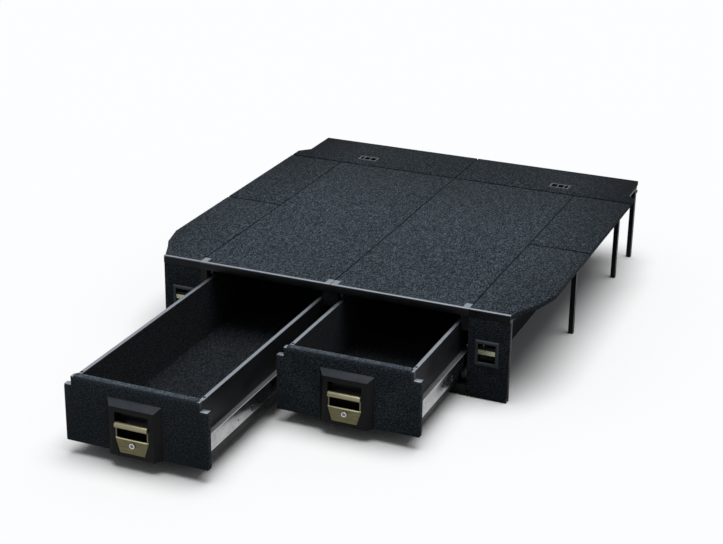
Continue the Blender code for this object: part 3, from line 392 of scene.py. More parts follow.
def moulded_finish(name, tint, roughness=0.29, recess_shade=None, dust=None):
    """Moulding with a fine spark-eroded grain and handling shine, a painted highlight on its upward slopes
    and painted shade in its recesses.
    """
    finish = Finish(name, tint, roughness, Specular_IOR_Level=0.095)
    grain = finish.noise(1500, 2, 0.6)
    handled = finish.noise(19, 3, 0.6)
    shade = finish.mix(handled.spread(0.35, 0.8), tint, scaled(tint, 1.35))
    # Painted highlight: upward slopes are blended towards a paler tone.
    if dust:
        slope_highlight_tone = finish.mix(handled.spread(0.3, 0.7), scaled(dust, 0.85), scaled(dust, 1.2))
        shade = finish.mix(finish.upward().spread(0.35, 0.75), shade, slope_highlight_tone)
    # Painted shade: the inside of a recess is darkened to a tenth of the tint.
    if recess_shade:
        axis, face, floor = recess_shade
        shade = finish.mix(finish.along(axis).spread(face, floor), shade, scaled(tint, 0.1))
    rough = handled.spread(0.3, 0.7, roughness - 0.07, roughness + 0.08) + grain * 0.05
    return finish.surface(shade, rough, grain, 0.00018, 0.55)


def olive_finish(name, tint, rubbed_and_highlight, slot=None):
    """Olive-gold metallic coat over brushed metal, with a painted highlight on the grip and a brighter
    painted highlight round the bead under the slot.
    """
    finish = Finish(name, tint, 0.36, 0.75)
    brushed = finish.noise(1.0, 4, 0.65, finish.stretched(55, 420, 620))
    wave = finish.noise(1.0, 2, 0.5, finish.stretched(26, 90, 150))
    cloud = finish.noise(24, 3, 0.6)
    shade = finish.mix(brushed.spread(0.3, 0.72), scaled(tint, 0.74), scaled(tint, 1.28))
    shade = finish.mix(wave.spread(0.5, 0.75, 0, 0.5), shade, scaled(tint, 1.7))
    shade = finish.mix(cloud.spread(0.45, 0.8, 0, 0.5), shade, scaled(tint, 0.6))
    # Painted highlight: paler above the slot, where the grip is, and brighter still in a band round the bead.
    if slot:
        foot, top = slot
        blend = 0.001
        height = finish.along("Z")
        grip_highlight_tone = finish.mix(brushed.spread(0.3, 0.72), scaled(rubbed_and_highlight, 0.8), scaled(rubbed_and_highlight, 1.15))
        grip = height.spread(top - blend, top + blend)
        below = height.spread(foot - 3 * blend, foot - 1.5 * blend)
        bead_highlight = below * height.spread(foot + 2 * blend, foot + blend)
        shade = finish.mix(bead_highlight, finish.mix(grip, shade, grip_highlight_tone), scaled(rubbed_and_highlight, 1.9))
    rough = brushed.spread(0.25, 0.75, 0.28, 0.46)
    return finish.surface(shade, rough, brushed, 0.00012, 0.5)


def plated_finish(name, tint, roughness):
    """Bright plating with hairline scratches and a faint haze."""
    finish = Finish(name, tint, roughness, 1.0)
    scratches = finish.noise(1.0, 3, 0.7, finish.stretched(900, 60, 240))
    haze = finish.noise(75, 3, 0.6)
    shade = finish.mix(haze.spread(0.35, 0.8), tint, scaled(tint, 0.78))
    rough = scratches.spread(0.45, 0.75, roughness, roughness + 0.16)
    return finish.surface(shade, rough, scratches, 0.00006, 0.4)


def corner_finish(name, tint):
    """Satin steel plate with scuffs, much darker on its upright folded side as painted shade."""
    finish = Finish(name, tint, 0.38, 1.0)
    upward = finish.upward()
    scuffs = finish.noise(1.0, 3, 0.7, finish.stretched(90, 520, 90))
    shade = finish.mix(scuffs.spread(0.35, 0.7), scaled(tint, 0.8), scaled(tint, 1.3))
    # Painted shade: upright faces are darkened to about a sixth of the tint.
    shade = finish.mix(upward.spread(0.5, 0.9), scaled(tint, 0.16), shade)
    rough = scuffs.spread(0.3, 0.7, 0.34, 0.46)
    return finish.surface(shade, rough, scuffs, 0.00008, 0.4)


def nylon_finish(name, tint):
    """Cast nylon, slightly mottled, with rolling marks round its tread."""
    finish = Finish(name, tint, 0.5, Specular_IOR_Level=0.4)
    mottle = finish.noise(60, 4, 0.6)
    grime = finish.noise(1.0, 3, 0.6, finish.stretched(620, 40, 40))
    shade = finish.mix(mottle.spread(0.3, 0.7), scaled(tint, 0.9), scaled(tint, 1.06))
    shade = finish.mix(grime.spread(0.5, 0.75, 0, 0.5), shade, scaled(tint, 0.5))
    rough = mottle.spread(0.3, 0.7, 0.4, 0.6)
    return finish.surface(shade, rough, mottle + grime, 0.0001, 0.4)


def finish_named(name):
    """The finish of that name, made once."""
    if name not in made_finishes:
        tints = bpy.context.scene.drawer_colours
        sizes = bpy.context.scene.drawer_sizes
        door_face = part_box("left_door_pull_bezel")[0].y
        pull_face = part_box("left_hatch_pull")[1].z
        # Painted highlights along the top edges of the fronts and doors: the top, and how far down each
        # reaches.
        front_top_highlight = (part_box("left_drawer_front")[1].z, 0.018)
        door_top_highlight = (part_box("left_infill_door")[1].z, 0.004)
        # Where painted shade starts and ends inside the recesses of the door pulls and the hatch pulls.
        door_recess_shade = ("Y", door_face + 0.003, door_face + 0.005)
        hatch_recess_shade = ("Z", pull_face - 0.0012, pull_face - 0.003)
        slot = (sizes.slot_foot, sizes.slot_top)
        makers = {
            # The boards' carpet carries painted shade towards the back and the wings.
            "carpet": lambda: carpet_finish("board_carpet", tints.carpet, shade_to_back=True),
            "front_carpet_painted_light": lambda: carpet_finish("front_carpet_painted_light", tints.front, front_top_highlight),
            "door_carpet_painted_light": lambda: carpet_finish("door_carpet_painted_light", tints.door, door_top_highlight),
            "lining_carpet": lambda: carpet_finish("lining_carpet", tints.lining, fine=1.4),
            "black_steel": lambda: powder_finish("powder_coat", tints.steel),
            "aluminium": lambda: drawn_finish("drawn_aluminium", tints.aluminium),
            # The strips along the front edge are darker on their upright faces as painted shade.
            "strip": lambda: drawn_finish("strip_aluminium", tints.aluminium, 0.2),
            "galvanised": lambda: galvanised_finish("zinc_coated_sheet", tints.galvanised),
            # Black mouldings get a painted highlight on their upward slopes.
            "black_plastic": lambda: moulded_finish("black_moulding", tints.plastic, dust=tints.dust),
            # The door surround gets painted shade in its recess and a brighter painted highlight on its
            # slopes; the hatch pulls get painted shade in theirs.
            "door_frame": lambda: moulded_finish(
                "door_surround", tints.frame_plastic, 0.36, door_recess_shade, scaled(tints.dust, 2.8)
            ),
            "grey_plastic": lambda: moulded_finish("grey_moulding", tints.grey_plastic, 0.45, hatch_recess_shade),
            # The pull handles get painted highlights on the grip and round the bead.
            "olive_metal": lambda: olive_finish("olive_coat", tints.olive, tints.rubbed_olive, slot),
            "paddle_coat": lambda: olive_finish("pale_gold_coat", tints.pale_gold, tints.rubbed_olive),
            "chrome": lambda: plated_finish("bright_plating", tints.chrome, 0.1),
            "plug": lambda: plated_finish("dull_steel", tints.plug, 0.3),
            "corner_steel": lambda: corner_finish("corner_steel", tints.aluminium),
            "nylon": lambda: nylon_finish("cast_nylon", tints.nylon),
            "dark_nylon": lambda: nylon_finish("dark_nylon", tints.dark_nylon),
            "zinc": lambda: plated_finish("zinc_plating", tints.zinc, 0.32),
            # Near-black for the heads of the rim screws, as painted shade.
            "shadow_black": lambda: powder_finish("painted_shadow_black", (0.002, 0.002, 0.002)),
        }
        made_finishes[name] = makers[name]()
    return made_finishes[name]


def deselect():
    """Leaves edit mode and selects nothing."""
    if bpy.context.mode != "OBJECT":
        bpy.ops.object.mode_set(mode="OBJECT")
    bpy.ops.object.select_all(action="DESELECT")


def activate(piece):
    deselect()
    piece.select_set(True)
    bpy.context.view_layer.objects.active = piece


def settle(name):
    """Names the new object and puts its place, turn and scale into its mesh."""
    bpy.ops.object.transform_apply(location=True, rotation=True, scale=True)
    piece = bpy.context.object
    piece.name = piece.data.name = name
    return piece


def add_block(name, low, high):
    deselect()
    low, high = Vector(low), Vector(high)
    bpy.ops.mesh.primitive_cube_add(size=1, location=(low + high) / 2, scale=high - low)
    return settle(name)


def add_rod(name, axis, centre, radius, span, sides=32):
    """A round bar along X, Y or Z; centre counts the other two directions in order."""
    deselect()
    middle = list(centre)
    middle.insert("XYZ".index(axis), sum(span) / 2)
    turn = {"X": (0, math.pi / 2, 0), "Y": (math.pi / 2, 0, 0), "Z": (0, 0, 0)}[axis]
    bpy.ops.mesh.primitive_cylinder_add(
        vertices=sides, radius=radius, depth=span[1] - span[0], location=middle, rotation=turn
    )
    return settle(name)


def copy_node(node, name):
    """A copy of a frame node, with its triangles merged into whole faces."""
    activate(frame["nodes"][node])
    bpy.ops.object.duplicate()
    bpy.ops.object.parent_clear(type="CLEAR_KEEP_TRANSFORM")
    piece = bpy.context.object
    piece.name = piece.data.name = name
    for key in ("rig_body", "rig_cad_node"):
        del piece[key]
    choose(piece, "FACE", lambda face: True)
    bpy.ops.mesh.remove_doubles(threshold=WELD)
    bpy.ops.mesh.customdata_custom_splitnormals_clear()
    bpy.ops.mesh.dissolve_limited(angle_limit=FLAT_ANGLE)
    return piece


def choose(piece, kind, test):
    """Goes into edit mode with only those faces, edges or points selected that pass the test."""
    activate(piece)
    bpy.ops.object.mode_set(mode="EDIT")
    bpy.ops.mesh.select_mode(type=kind)
    bpy.ops.mesh.select_all(action="DESELECT")
    shape = bmesh.from_edit_mesh(piece.data)
    parts = {"FACE": shape.faces, "EDGE": shape.edges, "VERT": shape.verts}[kind]
    for part in parts:
        if test(part):
            part.select_set(True)
    bmesh.update_edit_mesh(piece.data)


def facing(*direction):
    """A test for faces that look in a direction."""
    wanted = Vector(direction)
    return lambda face: face.normal.dot(wanted) > FACING_SHARE


def middle_of(node):
    """Where the middle of a frame node lies across the part."""
    low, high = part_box(node)
    return (low.x + high.x) / 2


def edge_of(node, turn):
    """Where a frame node ends across the part: on the left for -1, on the right for 1."""
    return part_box(node)[0 if turn < 0 else 1].x


def shift_points(piece, offset, test):
    choose(piece, "VERT", test)
    bpy.ops.transform.translate(value=offset)


def extrude(piece, offset, test):
    choose(piece, "FACE", test)
    bpy.ops.mesh.extrude_region_move(TRANSFORM_OT_translate={"value": offset})


def inset(piece, test, *steps):
    """Draws in the faces that pass the test, each step by a thickness and a depth."""
    choose(piece, "FACE", test)
    for thickness, depth in steps:
        bpy.ops.mesh.inset(thickness=thickness, depth=depth)


def resize_points(piece, shares, centre, test):
    choose(piece, "VERT", test)
    bpy.ops.transform.resize(value=shares, center_override=centre)


def bevel(piece, radius, segments, test):
    choose(piece, "EDGE", test)
    bpy.ops.mesh.bevel(offset=radius, segments=segments)


def slice_at(piece, *planes):
    """Cuts the faces of a piece along planes, each a point and a normal."""
    for point, normal in planes:
        choose(piece, "FACE", lambda face: True)
        bpy.ops.mesh.bisect(plane_co=point, plane_no=normal)


def modify(piece, kind, **settings):
    activate(piece)
    bpy.ops.object.modifier_add(type=kind)
    modifier = piece.modifiers[-1]
    for name, value in settings.items():
        setattr(modifier, name, value)
    bpy.ops.object.modifier_apply(modifier=modifier.name)


def carve(piece, cutter):
    modify(piece, "BOOLEAN", operation="DIFFERENCE", solver="EXACT", object=cutter)
    bpy.data.objects.remove(cutter)


def round_edges(piece, radius, segments=2, angle=30):
    """Rounds the edges that turn by more than an angle in degrees."""
    limit = {"limit_method": "ANGLE", "angle_limit": math.radians(angle), "use_clamp_overlap": True}
    modify(piece, "BEVEL", width=radius, segments=segments, loop_slide=True, **limit)


def join(name, piece, *others):
    activate(piece)
    for other in others:
        other.select_set(True)
    bpy.ops.object.join()
    piece.name = name
    return piece


def dress(piece, finish, body, *replaced, slot=None):
    """Gives a piece its finish, its shading and the body that it moves with."""
    activate(piece)
    piece.data.materials.clear()
    piece.data.materials.append(finish_named(finish))
    bpy.ops.object.shade_smooth_by_angle(angle=SMOOTH_ANGLE)
    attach(piece, body)
    if replaced:
        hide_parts(*replaced)


def refine(node, finish, radius, segments=2, name=None, slot=None):
    """Replaces a node by a copy of itself with rounded edges."""
    piece = copy_node(node, name or f"{node}_finished")
    round_edges(piece, radius, segments)
    dress(piece, finish, frame["nodes"][node]["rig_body"], node, slot=slot)


class BuildStep:
    """An operator that builds its pieces from the sizes of the scene"""

    bl_options = {"REGISTER", "UNDO"}

    @classmethod
    def poll(cls, context):
        return context.scene is not None

    def execute(self, context):
        self.build(context.scene.drawer_sizes)
        deselect()
        return {"FINISHED"}


class SideStep(BuildStep):
    """An operator that builds the same pieces on both sides; hand is -1 on the left and 1 on the right"""

    def build(self, sizes):
        for side, hand in SIDES.items():
            self.build_side(side, hand, sizes)


class DRAWERS_OT_surfaces(SideStep, Operator):
    """Coat the sheet metal of the frame that stays as it is, and cover the rear panels with carpet"""

    bl_idname = "drawers.surfaces"
    bl_label = "Surfaces"

    finishes = {
        "black_steel": (
            "outer_side_frame", "inner_side_frame", "infill_frame",
            "drawer_tray", "drawer_outer_wall", "drawer_inner_wall",
        ),
        "carpet": ("rear_panel",),
    }

    def build_side(self, side, hand, sizes):
        for finish, parts in self.finishes.items():
            for part in parts:
                for material_slot in frame["nodes"][f"{side}_{part}"].material_slots:
                    material_slot.material = finish_named(finish)


class DRAWERS_OT_boards(SideStep, Operator):
    """Cover the boards with carpet turned over their edges, and sink the screws that hold them"""

    bl_idname = "drawers.boards"
    bl_label = "Boards"

    # Where each screw sits: across the part, and back from the front edge of the deck.
    screws = {
        "left_deck_board": ((-0.480, 0.652), (-0.028, 0.080)),
        "right_deck_board": ((0.470, 0.642), (0.028, 0.080)),
        "left_infill_board_front": ((-0.520, 0.068),),
        "right_infill_board_front": ((0.520, 0.068),),
    }

    def build_side(self, side, hand, sizes):
        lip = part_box("left_deck_nosing")[0].y
        for part, outer, front, back in (
            ("deck_board", 1, 0, 1),
            ("infill_board_front", 0, 0, 1),
            ("infill_board_rear", 0, 1, 1),
            ("rear_hatch", 0, 1, 0),
        ):
            node = f"{side}_{part}"
            body = frame["nodes"][node]["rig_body"]
            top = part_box(node)[1].z
            west, east = (outer, 1) if hand < 0 else (1, outer)
            board = self.cover(node, (west, east, front, back), sizes)
            places = [(x, lip + y) for x, y in self.screws.get(node, ())]
            heads = [self.sink_screw(board, place, top, sizes) for place in places]
            dress(board, "carpet", body, node)
            if heads:
                dress(join(f"{node}_screws", *heads), "black_steel", body)

    def cover(self, node, seams, sizes):
        """A board with its top edges drawn in; seams tells which edges have a seam to a neighbour."""
        low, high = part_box(node)
        west, east, front, back = seams
        fold_gap = 0.0014
        edge_width = 0.004
        board = copy_node(node, f"{node}_carpeted")
        for axis, edge, shift in (
            (0, low.x, west * sizes.seam),
            (0, high.x, -east * sizes.seam),
            (1, low.y, sizes.cross_seam if front else sizes.nosing_reach + fold_gap),
            (1, high.y, -back * sizes.cross_seam),
        ):
            shift_points(
                board,
                (shift * (1 - axis), shift * axis, 0),
                lambda point: abs(point.co[axis] - edge) < edge_width
                and point.co.z > high.z - sizes.seam_depth,
            )
        return board

    def sink_screw(self, board, place, top, sizes):
        """Cuts a hole into the top of a board and fills it with the head of a socket screw."""
        radius = sizes.screw_radius
        hole_radius, hole_depth = radius + 0.0012, 0.0022
        head_foot, head_top, head_edge = 0.0024, 0.0006, 0.0004
        socket_wall, socket_depth = 0.0001, 0.0011
        carve(board, add_rod("hole", "Z", place, hole_radius, (top - hole_depth, top + OVERRUN)))
        head = add_rod("head", "Z", place, radius, (top - head_foot, top - head_top))
        inset(head, facing(*UP), (radius * SOCKET_SHARE, 0), (socket_wall, -socket_depth))
        round_edges(head, head_edge, 2, 60)
        return head


class DRAWERS_OT_linings(SideStep, Operator):
    """Line each drawer with carpet on its floor, sides and back"""

    bl_idname = "drawers.linings"
    bl_label = "Drawer linings"

    def build_side(self, side, hand, sizes):
        front_gap, back_gap = 0.0036, 0.0123
        floor_gap, rim_gap = 0.0128, 0.0006
        overlap, corner_radius, hem = 0.0001, 0.004, 0.0004
        low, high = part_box(f"{side}_drawer_tray")
        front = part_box(f"{side}_drawer_front")[1].y + front_gap
        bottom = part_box(f"{side}_drawer_outer_wall")[0].z + floor_gap
        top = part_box(f"{side}_drawer_rim")[0].z - rim_gap
        lining = add_block(
            f"{side}_drawer_lining",
            (low.x - overlap, front, bottom),
            (high.x + overlap, high.y - back_gap, top),
        )
        choose(lining, "FACE", facing(*UP))
        bpy.ops.mesh.delete(type="FACE")
        bevel(lining, corner_radius, 3, lambda edge: any(p.co.z < bottom + NEARBY for p in edge.verts))
        modify(lining, "SOLIDIFY", thickness=sizes.lining, offset=-1, use_even_offset=True)
        round_edges(lining, hem, 1)
        dress(lining, "lining_carpet", f"{side}_drawer", slot="carpet")


class DRAWERS_OT_front_edge(SideStep, Operator):
    """Refine the metal strips along the front edge and carry them on over the wings"""

    bl_idname = "drawers.front_edge"
    bl_label = "Front edge"

    def build_side(self, side, hand, sizes):
        self.soften_nosing(side, hand, sizes)
        refine(f"{side}_front_lip_bar", "black_steel", sizes.edge)
        self.add_wing_strip(side, hand, sizes)

    def soften_nosing(self, side, hand, sizes):
        """The strip of a module, with a rolled front edge and a joint towards the other module."""
        node = f"{side}_deck_nosing"
        low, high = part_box(node)
        inner = edge_of(node, -hand)
        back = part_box(f"{side}_deck_board")[0].y
        nosing = copy_node(node, f"{node}_finished")
        joint = (hand * sizes.nosing_joint, 0, 0)
        shift_points(nosing, joint, lambda point: abs(point.co.x - inner) < NEARBY)
        self.reach_back(nosing, high.z, lambda place: abs(place.y - back) < NEARBY, sizes)
        self.roll_edge(nosing, low.y, high.z, sizes.nosing_roll)
        dress(nosing, "strip", "frame", node, slot="aluminium")

    def add_wing_strip(self, side, hand, sizes):
        """The strip goes on from the end of the module to the outer edge of the door."""
        low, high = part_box(f"{side}_deck_nosing")
        outer = edge_of(f"{side}_infill_door", hand)
        inner = edge_of(f"{side}_infill_board_front", -hand)
        strip = add_block(
            f"{side}_wing_nosing",
            (min(outer, inner), low.y, high.z - sizes.nosing_height),
            (max(outer, inner), low.y + sizes.nosing_depth, high.z),
        )
        self.reach_back(strip, high.z, lambda place: place.y > low.y + NEARBY, sizes)
        self.roll_edge(strip, low.y, high.z, sizes.nosing_height / 2)
        dress(strip, "strip", "frame", slot="aluminium")

    def reach_back(self, piece, top, at_back, sizes):
        """Draws the top of a strip back over the fold of the carpet."""
        offset = (0, sizes.nosing_reach, 0)
        shift_points(piece, offset, lambda point: at_back(point.co) and point.co.z > top - ON_PLANE)

    def roll_edge(self, piece, front, top, radius):
        """Rolls the top front edge of a strip and takes the sharpness off the others."""
        small_radius = 0.0003

        def in_front(point):
            return abs(point.co.y - front) < ON_PLANE and abs(point.co.z - top) < ON_PLANE

        bevel(piece, radius, 5, lambda edge: all(in_front(point) for point in edge.verts))
        round_edges(piece, small_radius, 1, 40)


class DRAWERS_OT_runners(SideStep, Operator):
    """Refine the runners and rims of the drawers and add their screws and stops"""

    bl_idname = "drawers.runners"
    bl_label = "Runners and rims"

    def build_side(self, side, hand, sizes):
        for runner in ("drawer_outer_runner", "drawer_inner_runner"):
            refine(f"{side}_{runner}", "galvanised", sizes.rolled_edge, 3)
        refine(f"{side}_drawer_rim", "aluminium", sizes.edge, 3)
        self.add_rim_screws(side, sizes)
        stops = [self.build_stop(side, hand, turn) for turn in (-1, 1)]
        dress(join(f"{side}_runner_stops", *stops), "corner_steel", f"{side}_drawer", slot="zinc")

    def add_rim_screws(self, side, sizes):
        """A screw with a sunk head at each corner of the rim, its head near-black as painted shade."""
        from_side, from_front, from_back = 0.0064, 0.0267, 0.03
        foot, rise, socket_depth = 0.001, 0.0009, 0.0008
        low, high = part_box(f"{side}_drawer_rim")
        screws = []
        for x in (low.x + from_side, high.x - from_side):
            for y in (low.y + from_front, high.y - from_back):
                screw = add_rod("screw", "Z", (x, y), sizes.rim_screw, (high.z - foot, high.z + rise), 20)
                inset(screw, facing(*UP), (sizes.rim_screw * SOCKET_SHARE, -socket_depth))
                screws.append(screw)
        dress(join(f"{side}_rim_screws", *screws), "shadow_black", f"{side}_drawer", slot="black_steel")

    def build_stop(self, side, hand, turn):
        """A bent tab and a rivet on the outer face of a runner, placed back from the drawer's front."""
        tab_start, tab_end = 0.3145, 0.3235
        foot, fold, top = 0.102, 0.108, 0.121
        thickness, lip, edge = 0.002, 0.0015, 0.0005
        rivet_place, rivet_height, rivet_radius, rivet_edge = 0.221, 0.1135, 0.0022, 0.0006
        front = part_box(f"{side}_drawer_front")[0].y
        middle = middle_of(f"{side}_drawer_rim")
        face = abs(edge_of(f"{side}_drawer_outer_runner", hand) - middle)
        near, far = sorted((middle + turn * face, middle + turn * (face + thickness)))
        tab = add_block("tab", (near, front + tab_start, foot), (far, front + tab_end, top))
        slice_at(tab, ((0, 0, fold), UP))
        outward = facing(turn, 0, 0)
        extrude(tab, (turn * lip, 0, 0), lambda part: outward(part) and part.calc_center_median().z < fold)
        round_edges(tab, edge)
        rivet = add_rod("rivet", "X", (front + rivet_place, rivet_height), rivet_radius, (near, far), 20)
        round_edges(rivet, rivet_edge, 3, 60)
        return join("stop", tab, rivet)


class DRAWERS_OT_fronts(SideStep, Operator):
    """Cover the fronts and doors with carpet and fold metal plates over the corners of the fronts"""

    bl_idname = "drawers.fronts"
    bl_label = "Fronts"

    def build_side(self, side, hand, sizes):
        # The fronts' carpet is darker as painted shade, with a painted highlight along its top edge.
        refine(f"{side}_drawer_front", "front_carpet_painted_light", sizes.edge, slot="carpet")
        self.cover_door(side, hand)
        for place, turn in (("west", -1), ("east", 1)):
            plate = self.fold_plate(f"{side}_corner_plate_{place}", side, turn, sizes)
            dress(plate, "corner_steel", f"{side}_drawer", slot="galvanised")

    def cover_door(self, side, hand):
        """The carpet of a door comes nearer to the module than its board."""
        edge_width, overhang = 0.004, 0.0012
        node = f"{side}_infill_door"
        inner = edge_of(node, -hand)
        door = copy_node(node, f"{node}_carpeted")
        shift_points(door, (-hand * overhang, 0, 0), lambda point: abs(point.co.x - inner) < edge_width)
        # The doors' carpet is darker as painted shade, with a painted highlight along its top edge.
        dress(door, "door_carpet_painted_light", f"{side}_door", node, slot="carpet")

    def fold_plate(self, name, side, turn, sizes):
        """A plate that lies on the step of a notch, goes up its wall and lies on the shoulder."""
        front_gap, back_gap, edge = 0.0022, 0.0003, 0.0004
        low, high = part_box(f"{side}_drawer_front")
        middle = middle_of(f"{side}_drawer_front")
        skin = sizes.corner_plate
        step = high.z - sizes.step_depth
        shoulder = high.z - sizes.shoulder_depth
        neck = middle + turn * sizes.neck
        near, far = sorted((neck, middle + turn * sizes.step_reach))
        plate = add_block(name, (near, low.y + front_gap, step), (far, high.y - back_gap, step + skin))
        slice_at(plate, ((neck + turn * skin, 0, 0), ACROSS))
        upward = facing(*UP)
        inward = facing(-turn, 0, 0)
        wall = (0, 0, shoulder - step)
        extrude(plate, wall, lambda face: upward(face) and abs(face.calc_center_median().x - neck) < skin)
        slice_at(plate, ((0, 0, shoulder), UP))
        flange = (-turn * sizes.shoulder_width, 0, 0)
        extrude(plate, flange, lambda face: inward(face) and face.calc_center_median().z > shoulder)
        round_edges(plate, edge)
        return plate


class DRAWERS_OT_guides(SideStep, Operator):
    """Hang the guide tabs behind the lip and put the studs on the side frames"""

    bl_idname = "drawers.guides"
    bl_label = "Guides"

    def build_side(self, side, hand, sizes):
        tabs = [self.hang_tab(side, turn) for turn in (-1, 1)]
        studs = [self.add_stud(side, turn) for turn in (-1, 1)]
        dress(join(f"{side}_guide_tabs", *tabs), "dark_nylon", "frame", slot="nylon")
        dress(join(f"{side}_frame_studs", *studs), "zinc", "frame")

    def hang_tab(self, side, turn):
        """A tab that hangs from the lip beside the drawer and narrows at its foot."""
        inner, outer = 0.2135, 0.2225
        front, back = 0.0258, 0.0288
        rim_gap, taper, lip_gap, edge = 0.006, 0.004, 0.0001, 0.0006
        foot_share = 0.6
        low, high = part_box(f"{side}_front_lip_bar")
        middle = middle_of(f"{side}_front_lip_bar")
        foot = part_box(f"{side}_drawer_rim")[1].z + rim_gap
        near, far = sorted((middle + turn * inner, middle + turn * outer))
        tab = add_block("tab", (near, low.y + front, foot), (far, low.y + back, low.z - lip_gap))
        slice_at(tab, ((0, 0, foot + taper), UP))
        centre = ((near + far) / 2, low.y, 0)
        resize_points(tab, (foot_share, 1, 1), centre, lambda point: point.co.z < foot + NEARBY)
        round_edges(tab, edge)
        return tab

    def add_stud(self, side, turn):
        """A stud on the inner face of a side frame, behind the lip."""
        inner, outer = 0.236, 0.2477
        back, height, radius, edge = 0.030, 0.175, 0.003, 0.0008
        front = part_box(f"{side}_front_lip_bar")[0].y
        middle = middle_of(f"{side}_front_lip_bar")
        span = sorted((middle + turn * inner, middle + turn * outer))
        stud = add_rod("stud", "X", (front + back, height), radius, span, 24)
        round_edges(stud, edge, 3, 60)
        return stud


class DRAWERS_OT_surrounds(SideStep, Operator):
    """Round the edges of the moulded surrounds of all pulls"""

    bl_idname = "drawers.surrounds"
    bl_label = "Surrounds"

    def build_side(self, side, hand, sizes):
        refine(f"{side}_handle_bezel", "black_plastic", sizes.moulded_edge, 3)
        self.frame_door_pull(side, sizes)
        refine(f"{side}_hatch_pull", "grey_plastic", sizes.edge)

    def frame_door_pull(self, side, sizes):
        """The frame of a door pull, with a wider slope outside and a bevelled sill."""
        rim_half, rim_depth, rim_back = (0.041, 0.045), (0.002, 0.003), 0.0011
        face_half, face_shares = (0.038, 0.042), (0.962, 1, 0.942)
        sill_half, sill_drop, sill_bevel = (0.0345, 0.0375), 0.03, 0.0028
        node = f"{side}_door_pull_bezel"
        low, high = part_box(node)
        middle = (low + high) / 2

        def beyond(point, half):
            return abs(point.co.x - middle.x) > half[0] or abs(point.co.z - middle.z) > half[1]

        def at_rim(point):
            return rim_depth[0] < point.co.y - low.y < rim_depth[1] and beyond(point, rim_half)

        def at_face(point):
            return point.co.y < low.y + ON_PLANE

        def at_sill(point):
            return at_face(point) and point.co.z < middle.z - sill_drop and not beyond(point, sill_half)

        piece = copy_node(node, f"{node}_finished")
        shift_points(piece, (0, rim_back, 0), at_rim)
        resize_points(piece, face_shares, middle, lambda point: at_face(point) and beyond(point, face_half))
        bevel(piece, sill_bevel, 1, lambda edge: all(at_sill(point) for point in edge.verts))
        round_edges(piece, sizes.moulded_edge / 2)
        dress(piece, "door_frame", f"{side}_door", node, slot="black_plastic")


